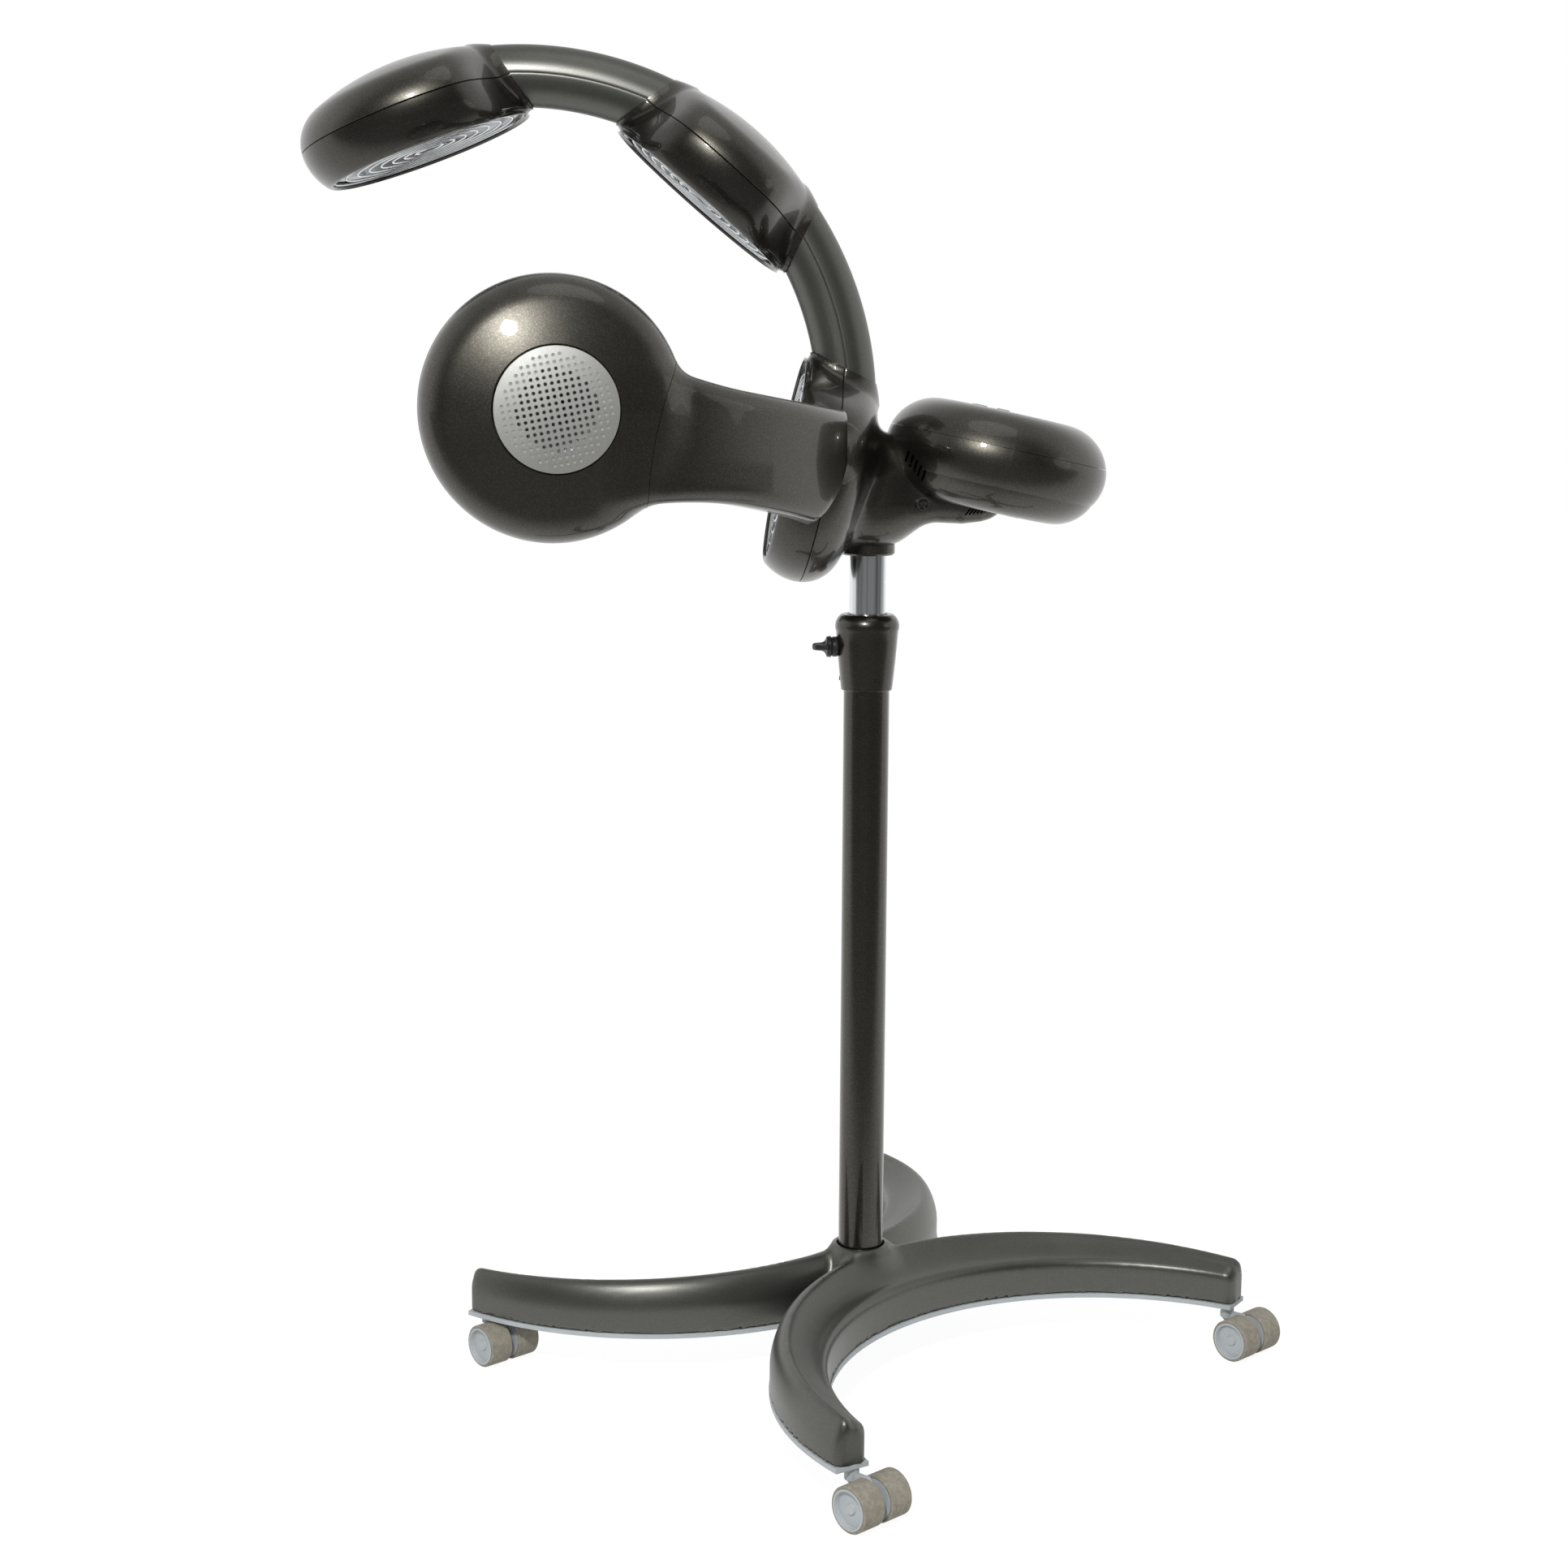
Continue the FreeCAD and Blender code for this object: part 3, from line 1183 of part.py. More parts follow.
# ---------------------------------------------------------------- control housing
cover_skin = upright_solid("cover_skin", control_outline, control_place, 0.0)
cover_room = upright_solid("cover_room", control_outline, control_place, -shell_wall)
big = control_radius * 3
above = block("above_seam", big, big, 200.0,
              control_place.multiply(shift(-num(big) / 2, -num(big) / 2, -0.2)))
below = block("below_seam", big, big, 200.0,
              control_place.multiply(shift(-num(big) / 2, -num(big) / 2, -199.8)))
panel_hole = cylinder("panel_hole", panel_radius + 0.15, 20.0,
                      control_place.multiply(shift(z=num(cover_rise) - 2.6)))
panel_open = cylinder("panel_open", panel_radius - 5, 40.0,
                      control_place.multiply(shift(z=num(cover_rise) - 20)))
cover_lens = new_body("panel_seat")
sketch = new_sketch(cover_lens, "XZ_Plane", "panel_seat_profile")
outline(sketch, [(panel_radius - 5, cover_rise - 4.8), (panel_radius + 3, cover_rise - 4.8),
                 (panel_radius + 3, cover_rise - 2.6), (panel_radius - 5, cover_rise - 2.6)])
turn(cover_lens, sketch)
cover_lens.Placement = control_place
cover_cut = boolean("Cut", "cover_cut", cover_skin, [cover_room, below, panel_hole, panel_open])
cover = fuse("cover_full", [cover_cut, cover_lens])
cover.Label = "control_cover"
node(cover)

neck_open = cylinder("neck_open", 18.0, 60.0, FreeCAD.Placement(V(0, 10, num(neck_low) + 36),
                                                            FreeCAD.Rotation(V(1, 0, 0), -90)))
slots = new_body("vent_slots")
slot_plan = new_sketch(slots, "YZ_Plane", "vent_slots_plan")
for k in range(5):
    y = -control_radius * 0.86 + k * 5.0
    lean = k * 4.0
    outline(slot_plan, [(y, -24.0 - lean), (y + 2.2, -25.0 - lean),
                        (y + 2.2, -37.0 - lean), (y, -36.0 - lean)])
pad(slots, slot_plan, control_radius * 2.4, both=True)
slots.Placement = control_place
under = new_body("under_slots")
under_plan = new_sketch(under, "XY_Plane", "under_slots_plan")
for k in range(5):
    x = 22.0 + k * 6.0
    outline(under_plan, [(x, 10.0), (x + 2.4, 10.0), (x + 2.4, 34.0), (x, 34.0)])
pad(under, under_plan, 24.0, both=True)
under.Placement = control_place.multiply(shift(z=-num(base_drop)))
switch_spot = control_place.multiply(shift(-30.0, 38.0, -num(base_drop)))
switch_room = block("switch_room", 22.0, 14.0, 20.0, switch_spot.multiply(shift(-11.0, -7.0, -4.0)))
node(boolean("Cut", "control_base", upright_solid("base_skin", control_outline, control_place, 0.0),
             [cover_room, above, slots, under, switch_room, neck_open]))

panel_body = new_body("panel_disc")
face = new_sketch(panel_body, "XY_Plane", "panel_disc_face", shift(z=num(cover_rise) - 2.4))
circle(face, 0.0, 0.0, panel_radius)
pad(panel_body, face, 2.4)
window_width = 56.0
window_depth = 24.0
frame = new_sketch(panel_body, "XY_Plane", "window_hole", shift(z=num(cover_rise)))
box_outline(frame, -window_width / 2, window_width / 2, 12.0, 12.0 + window_depth)
pad(panel_body, frame, 6.0, cut=True)
button_spots = (("start_button", -30.0, -8.0), ("stop_button", 30.0, -8.0),
                ("plus_button", 12.0, -30.0), ("minus_button", -12.0, -30.0))
holes = new_sketch(panel_body, "XY_Plane", "button_holes", shift(z=num(cover_rise)))
for _, x, y in button_spots:
    circle(holes, x, y, button_radius + run_gap)
pad(panel_body, holes, 6.0, cut=True)
panel_body.Placement = control_place
panel_body.Label = "control_panel"
node(panel_body)

window = new_body("display_window")
face = new_sketch(window, "XY_Plane", "display_face", shift(z=num(cover_rise) - 2.2))
box_outline(face, -window_width / 2 + 0.15, window_width / 2 - 0.15, 12.15, 11.85 + window_depth)
pad(window, face, 2.4)
window.Placement = control_place
node(window)

board_level = 16.0
for name, x, y in button_spots:
    button = new_body(name)
    profile = new_sketch(button, "XZ_Plane", name + "_profile")
    outline(profile, [(0.0, board_level + 4.2), (button_radius + 1.4, board_level + 4.2),
                      (button_radius + 1.4, board_level + 5.4), (button_radius, board_level + 5.4),
                      (button_radius, cover_rise + 1.0), (button_radius - 0.8, cover_rise + 1.8),
                      (0.0, cover_rise + 1.8)])
    turn(button, profile)
    button.Placement = control_place.multiply(shift(x, y, 0))
    node(button)

board = new_body("control_board")
face = new_sketch(board, "XY_Plane", "board_face", shift(z=board_level))
box_outline(face, -46.0, 46.0, -44.0, 44.0)
pad(board, face, 1.6)
for k, (_, x, y) in enumerate(button_spots):
    dome = new_sketch(board, "XY_Plane", "board_switch_%d" % k, shift(z=board_level + 1.5))
    box_outline(dome, x - 3.0, x + 3.0, y - 3.0, y + 3.0)
    pad(board, dome, 1.3)
glass = new_sketch(board, "XY_Plane", "board_display", shift(z=board_level + 1.5))
box_outline(glass, -24.0, 24.0, 15.0, 33.0)
pad(board, glass, cover_rise - board_level - 5)
for k, (x, y) in enumerate(((-42.0, -40.0), (42.0, -40.0), (-42.0, 40.0), (42.0, 40.0))):
    post = new_sketch(board, "XY_Plane", "board_post_%d" % k, shift(z=board_level + 0.1))
    circle(post, x, y, 2.5)
    pad(board, post, cover_rise - board_level - 5.0)
board.Placement = control_place
node(board)

rocker = new_body("power_switch")
profile = new_sketch(rocker, "XZ_Plane", "rocker_profile")
outline(profile, [(-9.8, -2.6), (0.0, -0.8), (9.8, 0.6), (9.8, 4.0), (3.0, 9.0), (-3.0, 9.0), (-9.8, 4.0)])
pad(rocker, profile, 12.6, both=True)
rocker.Placement = switch_spot
node(rocker)

# ---------------------------------------------------------------- check and write out
doc.recompute()
faults = []
for thing in doc.Objects:
    if any(word in ("Invalid", "Error") for word in thing.State):
        faults.append("%s %s" % (thing.Name, thing.State))
for name, thing in nodes.items():
    shape = thing.Shape
    if shape.isNull() or not shape.isValid():
        faults.append(name + " shape")
if faults:
    raise RuntimeError("; ".join(faults))
os.makedirs("parts", exist_ok=True)
for name, thing in nodes.items():
    thing.Shape.exportStep("parts/%s.step" % name)
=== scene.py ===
"""Looks of a salon hair colour processor, laid out as a Blender add-on."""

import math
from contextlib import contextmanager

import bmesh
import bpy
import numpy as np
from bpy.props import FloatProperty, FloatVectorProperty, IntProperty, PointerProperty
from mathutils import Matrix, Vector


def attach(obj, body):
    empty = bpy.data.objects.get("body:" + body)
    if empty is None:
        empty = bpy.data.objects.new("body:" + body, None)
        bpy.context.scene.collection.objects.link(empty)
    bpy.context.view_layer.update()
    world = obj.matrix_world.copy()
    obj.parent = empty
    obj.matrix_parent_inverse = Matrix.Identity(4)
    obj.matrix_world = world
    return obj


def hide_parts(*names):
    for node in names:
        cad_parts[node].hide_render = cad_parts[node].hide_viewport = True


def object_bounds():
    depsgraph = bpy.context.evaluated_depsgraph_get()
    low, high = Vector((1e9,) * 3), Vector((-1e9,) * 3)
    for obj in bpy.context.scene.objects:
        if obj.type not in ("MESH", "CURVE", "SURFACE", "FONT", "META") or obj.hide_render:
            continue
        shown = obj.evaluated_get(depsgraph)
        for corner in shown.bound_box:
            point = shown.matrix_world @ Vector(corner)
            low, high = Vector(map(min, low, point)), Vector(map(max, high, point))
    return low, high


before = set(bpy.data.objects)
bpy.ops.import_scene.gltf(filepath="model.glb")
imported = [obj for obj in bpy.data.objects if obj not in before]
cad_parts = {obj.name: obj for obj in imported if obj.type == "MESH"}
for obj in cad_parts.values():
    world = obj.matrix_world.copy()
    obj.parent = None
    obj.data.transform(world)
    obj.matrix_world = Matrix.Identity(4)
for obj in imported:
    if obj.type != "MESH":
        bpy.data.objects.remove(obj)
CAD_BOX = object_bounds()

bl_info = {
    "name": "Hair Colour Processor",
    "version": (1, 0, 0),
    "blender": (4, 5, 0),
    "location": "View3D > Sidebar > Processor",
    "description": "Dresses a salon hair colour processor and its stage",
    "category": "Object",
}

MM = 0.001
MERGE = 1e-6
SHARP = math.radians(32)


# ---------------- settings
def length(name, value, text):
    return FloatProperty(name=name, description=text, default=value, unit="LENGTH", min=0.0, precision=5)


def angle(name, value, text):
    return FloatProperty(name=name, description=text, default=math.radians(value), subtype="ANGLE")


def colour(name, value, text):
    return FloatVectorProperty(name=name, description=text, default=value, size=3, min=0.0, max=1.0,
                               subtype="COLOR")


def share(name, value, text):
    return FloatProperty(name=name, description=text, default=value, min=0.0, max=1.0, subtype="FACTOR")


def watts(name, value, text):
    return FloatProperty(name=name, description=text, default=value, min=0.0)


class LampSizes(bpy.types.PropertyGroup):
    head_offset: length("Head offset", 0.365, "Distance from the column to the middle of the client's head")
    head_height: length("Head height", 1.063, "Height of the middle of the client's head")
    distance: length("Lamp distance", 0.281, "From the middle of the head to a lamp's opening")
    radius: length("Lamp radius", 0.126, "Largest radius of a lamp")
    opening: length("Opening radius", 0.108, "Radius of a lamp's opening")
    parting: length("Parting depth", 0.040, "Depth of the line between ring and dome")
    depth: length("Dome depth", 0.094, "Depth of a lamp behind its opening")
    wall: length("Shell wall", 0.0028, "Thickness of the moulded shells")
    arch_radius: length("Arch radius", 0.340, "Radius of the arch and the side arms")
    tube_radius: length("Tube radius", 0.032, "Radius of the arch tubes")
    rear_angle: angle("Rear angle", -11.5, "Angle of the rear lamp on the arch")
    pitch: angle("Lamp pitch", 61.1, "Angle between two lamps of the arch")
    side_angle: angle("Side angle", 6.7, "Angle of a side lamp about the head")
    ring_count: IntProperty(name="Grille rings", description="Rings in one grille", default=8, min=2, max=16)
    ring_pitch: length("Ring pitch", 0.013, "Distance between two grille rings")
    wire: length("Wire radius", 0.0013, "Radius of the grille wire")


class StandSizes(bpy.types.PropertyGroup):
    leg_reach: length("Leg reach", 0.430, "From the column to the end of a leg")
    half_angle: angle("Half angle", 47.3, "Half the angle between the two legs of one crescent")
    bisector: angle("Bisector", 41.4, "Direction of the first crescent's middle")
    hub_width: length("Hub width", 0.074, "Width of a leg at the column")
    tip_width: length("Tip width", 0.035, "Width of a leg at its end")
    hub_ridge: length("Ridge at the column", 0.120, "Height of a leg's crest beside the column")
    tip_ridge: length("Ridge at the tip", 0.098, "Height of a leg's crest at its end")
    casting_bottom: length("Casting bottom", 0.055, "Height of the casting's lower edge")


class Finishes(bpy.types.PropertyGroup):
    lacquer: colour("Lacquer", (0.054, 0.051, 0.043), "Bronze-black lacquer of the shells")
    satin: colour("Satin paint", (0.118, 0.118, 0.108), "Graphite paint of the arch and the base")
    column: colour("Column paint", (0.046, 0.044, 0.036), "Gloss paint of the column")
    silver: colour("Silver", (0.52, 0.52, 0.495), "Drilled discs")
    chrome: colour("Chrome", (0.56, 0.58, 0.59), "Mast and grille wire")
    trim: colour("Trim", (0.41, 0.44, 0.455), "Plate under the base and caster plastic")
    tread: colour("Tread", (0.285, 0.262, 0.205), "Caster treads")
    black: colour("Black plastic", (0.016, 0.016, 0.017), "Knob, inlet, rocker and lips")


class StageSettings(bpy.types.PropertyGroup):
    key: watts("Key light", 90.0, "Power of the main light in watts")
    fill: watts("Fill light", 6.5, "Power of the fill light in watts")
    sky: share("Sky", 0.55, "Brightness of the surroundings")
    near_side: share("Near side", 0.10, "Brightness of the studio behind the camera in reflections")
    ceiling: share("Ceiling", 0.5, "How much darker the studio is overhead in reflections")
    floor: colour("Floor", (0.86, 0.86, 0.86), "Colour of the floor")


def lamps():
    return bpy.context.scene.processor_lamps


def stand():
    return bpy.context.scene.processor_stand


def finishes():
    return bpy.context.scene.processor_finishes


# ---------------- outlines
def arc(a, via, b, steps):
    """Points of the arc from a through via to b, both ends included."""
    (ax, ay), (bx, by), (cx, cy) = a, via, b
    d = 2 * (ax * (by - cy) + bx * (cy - ay) + cx * (ay - by))
    aa, bb, cc = (x * x + y * y for x, y in (a, via, b))
    ux = (aa * (by - cy) + bb * (cy - ay) + cc * (ay - by)) / d
    uy = (aa * (cx - bx) + bb * (ax - cx) + cc * (bx - ax)) / d
    radius = math.hypot(ax - ux, ay - uy)
    start, middle, stop = (math.atan2(y - uy, x - ux) for x, y in (a, via, b))
    sweep = (stop - start) % math.tau
    if (middle - start) % math.tau > sweep:
        sweep -= math.tau
    turns = [start + sweep * k / steps for k in range(steps + 1)]
    return [(ux + radius * math.cos(t), uy + radius * math.sin(t)) for t in turns]


def cap(a, b, steps):
    """Arc from a on the profile to b on the axis, centred on the axis (first value along it)."""
    centre = (b[0] ** 2 - a[0] ** 2 - a[1] ** 2) / (2 * (b[0] - a[0]))
    radius = abs(b[0] - centre)
    start = math.atan2(a[1], a[0] - centre)
    stop = 0.0 if b[0] > centre else math.pi
    turns = [start + (stop - start) * k / steps for k in range(steps + 1)]
    return [(centre + radius * math.cos(t), radius * math.sin(t)) for t in turns]


# ---------------- meshes
def new_piece(name, data):
    piece = bpy.data.objects.new(name, data)
    bpy.context.scene.collection.objects.link(piece)
    return piece


def mesh_from(name, points, faces):
    mesh = bpy.data.meshes.new(name)
    mesh.from_pydata([tuple(p) for p in points], [], faces)
    mesh.validate()
    return mesh


@contextmanager
def edited(mesh):
    """Open a mesh for editing and write it back at the end."""
    work = bmesh.new()
    work.from_mesh(mesh)
    yield work
    work.to_mesh(mesh)
    work.free()
    mesh.update()


def piece_from(name, work):
    """A new piece from an edited mesh, which is then closed."""
    mesh = bpy.data.meshes.new(name)
    work.to_mesh(mesh)
    work.free()
    return new_piece(name, mesh)


def tidy(mesh, outward=True):
    """Merge doubles and turn the faces outwards."""
    with edited(mesh) as work:
        bmesh.ops.remove_doubles(work, verts=work.verts, dist=MERGE)
        bmesh.ops.dissolve_degenerate(work, edges=work.edges, dist=MERGE)
        if outward:
            bmesh.ops.recalc_face_normals(work, faces=work.faces)


def tidy_piece(name, points, faces):
    """A piece over points in metres, merged and with its faces outwards."""
    mesh = mesh_from(name, points, faces)
    tidy(mesh)
    return new_piece(name, mesh)


def grid_faces(rows, columns):
    """Quads between neighbouring closed rows of points."""
    faces = []
    for i in range(rows - 1):
        for j in range(columns):
            k = (j + 1) % columns
            faces.append((i * columns + j, i * columns + k, (i + 1) * columns + k, (i + 1) * columns + j))
    return faces


def turned(name, profile, place, steps=96, closed=False):
    """Revolve a profile of (along, radius) pairs in millimetres about the X axis of a place."""
    loop = list(profile) + ([profile[0]] if closed else [])
    turns = [math.tau * j / steps for j in range(steps)]
    points = [place @ Vector((along, radius * math.cos(a), radius * math.sin(a))) * MM
              for along, radius in loop for a in turns]
    return tidy_piece(name, points, grid_faces(len(loop), steps))


def skin(name, sections):
    """Closed skin over equal loops of points in millimetres."""
    count, columns = len(sections), len(sections[0])
    faces = grid_faces(count, columns)
    faces.append(tuple(range(columns))[::-1])
    faces.append(tuple(range((count - 1) * columns, count * columns)))
    return tidy_piece(name, [Vector(p) * MM for loop in sections for p in loop], faces)


def box_piece(name, low, high, place):
    """A box between two corners in millimetres, laid into a place."""
    corners = [place @ Vector((x, y, z)) * MM for x in (low[0], high[0]) for y in (low[1], high[1])
               for z in (low[2], high[2])]
    faces = [(0, 1, 3, 2), (4, 6, 7, 5), (0, 4, 5, 1), (2, 3, 7, 6), (0, 2, 6, 4), (1, 5, 7, 3)]
    return tidy_piece(name, corners, faces)


def applied(piece):
    """Turn a piece with modifiers into a plain mesh."""
    graph = bpy.context.evaluated_depsgraph_get()
    mesh = bpy.data.meshes.new_from_object(piece.evaluated_get(graph))
    piece.modifiers.clear()
    old = piece.data
    piece.data = mesh
    mesh.name = piece.name
    if old.users == 0:
        bpy.data.meshes.remove(old)
    return piece


def thickened(piece, wall):
    """Give an open skin a wall on its inner side."""
    solid = piece.modifiers.new("wall", "SOLIDIFY")
    solid.thickness = wall
    solid.offset = -1
    solid.use_even_offset = False
    return applied(piece)


def boolean(piece, tools, kind="DIFFERENCE"):
    """Cut tools from a piece, or share them with it, and use the tools up."""
    for tool in tools:
        step = piece.modifiers.new("cut", "BOOLEAN")
        step.object = tool
        step.operation = kind
        step.solver = "EXACT"
        applied(piece)
        drop(tool)
    return piece


def drop(piece):
    mesh = piece.data
    bpy.data.objects.remove(piece)
    if mesh.users == 0:
        bpy.data.meshes.remove(mesh)


def bisected(piece, point, normal, fill=False):
    """Keep what lies behind a plane, given in millimetres."""
    with edited(piece.data) as work:
        geometry = work.verts[:] + work.edges[:] + work.faces[:]
        cut = bmesh.ops.bisect_plane(work, geom=geometry, plane_co=Vector(point) * MM,
                                     plane_no=Vector(normal), clear_outer=True)
        if fill:
            edges = [e for e in cut["geom_cut"] if isinstance(e, bmesh.types.BMEdge)]
            bmesh.ops.edgeloop_fill(work, edges=edges)


def faced(piece, target=None):
    """Face an open cup towards a point in metres, or away from its own middle."""
    with edited(piece.data) as work:
        bmesh.ops.recalc_face_normals(work, faces=work.faces)
        middle = sum((v.co for v in work.verts), Vector()) / len(work.verts) if target is None else target
        votes = sum((f.calc_center_median() - middle).dot(f.normal) * f.calc_area() for f in work.faces)
        if votes * (1 if target is None else -1) < 0:
            bmesh.ops.reverse_faces(work, faces=work.faces)
    return piece


def joined(name, pieces):
    """One mesh of several pieces."""
    work = bmesh.new()
    for piece in pieces:
        work.from_mesh(piece.data)
    for piece in pieces:
        drop(piece)
    return piece_from(name, work)


def mirror_copy(name, piece):
    """The same mesh on the other side of the middle plane."""
    work = bmesh.new()
    work.from_mesh(piece.data)
    bmesh.ops.scale(work, vec=(-1, 1, 1), verts=work.verts)
    bmesh.ops.reverse_faces(work, faces=work.faces)
    return piece_from(name, work)


def dressed(piece, body, finish_name, nodes, sharp=SHARP):
    """Finish a piece: shading, material, body and the CAD nodes it stands for."""
    mesh = piece.data
    mesh.materials.clear()
    mesh.materials.append(finish(finish_name))
    for face in mesh.polygons:
        face.use_smooth = True
        face.material_index = 0
    if sharp is not None:
        mesh.set_sharp_from_angle(angle=sharp)
    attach(piece, body)
    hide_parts(*nodes)


def dress_pair(right, finish_name, node_end, sharp=SHARP):
    """Finish a piece of the right arm and its mirror copy on the left arm."""
    left = mirror_copy(right.name.replace("right", "left"), right)
    for side, piece in (("right", right), ("left", left)):
        dressed(piece, side + "_arm", finish_name, [side + node_end], sharp)


# ---------------- places
def place_from(origin, x_axis, y_axis):
    """A place with its own X and Y directions, in millimetres."""
    x, y = Vector(x_axis).normalized(), Vector(y_axis).normalized()
    z = x.cross(y)
    return Matrix((*((x[k], y[k], z[k], origin[k]) for k in range(3)), (0, 0, 0, 1)))


def head_point():
    return (0.0, -lamps().head_offset / MM, lamps().head_height / MM)


def arch_place(a):
    """X towards a lamp of the arch, Y along the arch."""
    return place_from(head_point(), (0, math.cos(a), math.sin(a)), (0, -math.sin(a), math.cos(a)))


def side_place():
    a = lamps().side_angle
    return place_from(head_point(), (math.cos(a), math.sin(a), 0), (-math.sin(a), math.cos(a), 0))


def upright(origin=(0, 0, 0)):
    """X upwards, for turned pieces that stand upright."""
    return place_from(origin, (0, 0, 1), (1, 0, 0))


def arch_lamps():
    """Name, place and the sides on which arch tubes leave."""
    sizes = lamps()
    names = ("rear_lamp", "mid_lamp", "front_lamp")
    sides = ((1,), (-1, 1), (-1,))
    return [(names[k], arch_place(sizes.rear_angle + k * sizes.pitch), sides[k]) for k in range(3)]


# ---------------- blended skins
RAY_HALVINGS = 26
NET_ROUNDS, NET_PROBE = 4, 0.3


def xyz(points):
    return points[..., 0], points[..., 1], points[..., 2]


def spun(points, turn):
    """Points turned about the upright axis."""
    x, y, z = xyz(points)
    c, s = math.cos(turn), math.sin(turn)
    return np.stack([x * c - y * s, x * s + y * c, z], -1)


def rounded_bar(across, rise, half_width, half_height, corner):
    """Signed distance to a long bar with rounded corners, from distances to its middle planes."""
    a, b = across - (half_width - corner), rise - (half_height - corner)
    return np.hypot(np.maximum(a, 0), np.maximum(b, 0)) + np.minimum(np.maximum(a, b), 0) - corner


def outline_field(profile):
    """Signed distance to a closed turned outline, as a function of along and radius."""
    line = np.array(list(profile) + [profile[0]], float)
    starts, ends = line[:-1], line[1:]
    runs = ends - starts
    squares = np.maximum((runs ** 2).sum(1), 1e-12)

    def field(along, radius):
        p = np.stack([along, radius], -1)[..., None, :]
        t = np.clip(((p - starts) * runs).sum(-1) / squares, 0, 1)
        gap = p - (starts + t[..., None] * runs)
        distance = np.sqrt((gap ** 2).sum(-1)).min(-1)
        above = (starts[:, 1] > radius[..., None]) != (ends[:, 1] > radius[..., None])
        rise = np.where(np.abs(runs[:, 1]) < 1e-12, 1e-12, runs[:, 1])
        crossing = starts[:, 0] + (radius[..., None] - starts[:, 1]) * runs[:, 0] / rise
        inside = (above & (along[..., None] < crossing)).sum(-1) % 2 == 1
        return np.where(inside, -distance, distance)

    return field


def soft_union(a, b, blend):
    """Two signed distances run into each other over a width."""
    near = np.clip(0.5 + 0.5 * (b - a) / blend, 0, 1)
    return b * (1 - near) + a * near - blend * near * (1 - near)


def soft_common(a, b, blend):
    """What two signed distances share, with its edge softened over a width."""
    return -soft_union(-a, -b, blend)


def surface_along(field, origins, directions, near, far):
    """Where rays that start inside a field leave it."""
    low = np.full(origins.shape[:-1], float(near))
    high = np.full(origins.shape[:-1], float(far))
    for _ in range(RAY_HALVINGS):
        middle = (low + high) / 2
        inside = field(origins + directions * middle[..., None]) < 0
        low = np.where(inside, middle, low)
        high = np.where(inside, high, middle)
    return origins + directions * ((low + high) / 2)[..., None]


def surface_net(name, field, low, high, step):
    """Closed skin round the inside of a field, over a grid of points in millimetres."""
    axes = [np.arange(a, b + step, step) for a, b in zip(low, high)]
    grid = np.stack(np.meshgrid(*axes, indexing="ij"), -1)
    value = np.stack([field(part) for part in grid])
    inside = value < 0
    cells = tuple(n - 1 for n in value.shape)
    total, count, edges = np.zeros((*cells, 3)), np.zeros(cells, int), []
    for axis in range(3):
        near = tuple(slice(None, -1) if k == axis else slice(None) for k in range(3))
        far = tuple(slice(1, None) if k == axis else slice(None) for k in range(3))
        spots = np.argwhere(inside[near] != inside[far])
        a = value[near][tuple(spots.T)]
        b = value[far][tuple(spots.T)]
        points = grid[near][tuple(spots.T)].copy()
        points[:, axis] += step * a / (a - b)
        others = [k for k in range(3) if k != axis]
        keep = np.ones(len(spots), bool)
        for k in others:
            keep &= (spots[:, k] > 0) & (spots[:, k] < value.shape[k] - 1)
        spots, points, a = spots[keep], points[keep], a[keep]
        ring = []
        for du, dv in ((0, 0), (1, 0), (1, 1), (0, 1)):
            cell = spots.copy()
            cell[:, others[0]] -= du
            cell[:, others[1]] -= dv
            np.add.at(total, tuple(cell.T), points)
            np.add.at(count, tuple(cell.T), 1)
            ring.append(cell)
        edges.append((ring, (a < 0) == (axis != 1)))
    index = np.full(cells, -1)
    used = count > 0
    index[used] = np.arange(used.sum())
    points = total[used] / count[used][:, None]
    faces = []
    for ring, forward in edges:
        quads = np.stack([index[tuple(cell.T)] for cell in ring], 1)
        faces += [tuple(q) if keep else tuple(q[::-1]) for q, keep in zip(quads.tolist(), forward.tolist())]
    for _ in range(NET_ROUNDS):
        here = field(points)
        slope = np.stack([field(points + probe) - field(points - probe) for probe in np.eye(3) * NET_PROBE],
                         -1) / (2 * NET_PROBE)
        steep = np.maximum((slope ** 2).sum(-1), 0.05)
        move = slope * (here / steep)[:, None]
        size = np.linalg.norm(move, axis=-1, keepdims=True)
        points = points - move * np.minimum(1, step * 0.5 / np.maximum(size, 1e-9))
    return tidy_piece(name, points * MM, faces)


# ---------------- lamps
FACET_LEAN, FACET_RISE = 0.243, 9.0
SLEEVE_INSET, SLEEVE_START = 4.0, 76.0
SLEEVE_FLAT, SLEEVE_TAPER = 14.0, 0.42
SLEEVE_BLEND, FACET_BLEND = 12.0, 16.0
LAMP_CORE, LAMP_REACH = 42.0, 170.0
CUP_STEPS = 192
POLE = 0.05
SEAM_HALF, SEAM_ROUND, SEAM_EASE = 0.35, 0.9, 0.55
THIN_WALL, DISH_WALL = 0.0014, 0.0006
DISC_SEAT, SEAT_DEPTH, SEAT_LEDGE = 60.0, 7.0, 4.0


def facet_line(depth):
    """Height of the flat on a lamp's edge at a depth, in millimetres."""
    return lamps().opening / MM + FACET_RISE - FACET_LEAN * depth


def facet_plane(place, side, inset=0.0):
    """Point and direction of the plane that ends a lamp's sleeve."""
    spot = place @ Vector((lamps().distance / MM, (facet_line(0) - inset) * side, 0))
    return spot, place.to_3x3() @ Vector((FACET_LEAN, side, 0)).normalized()


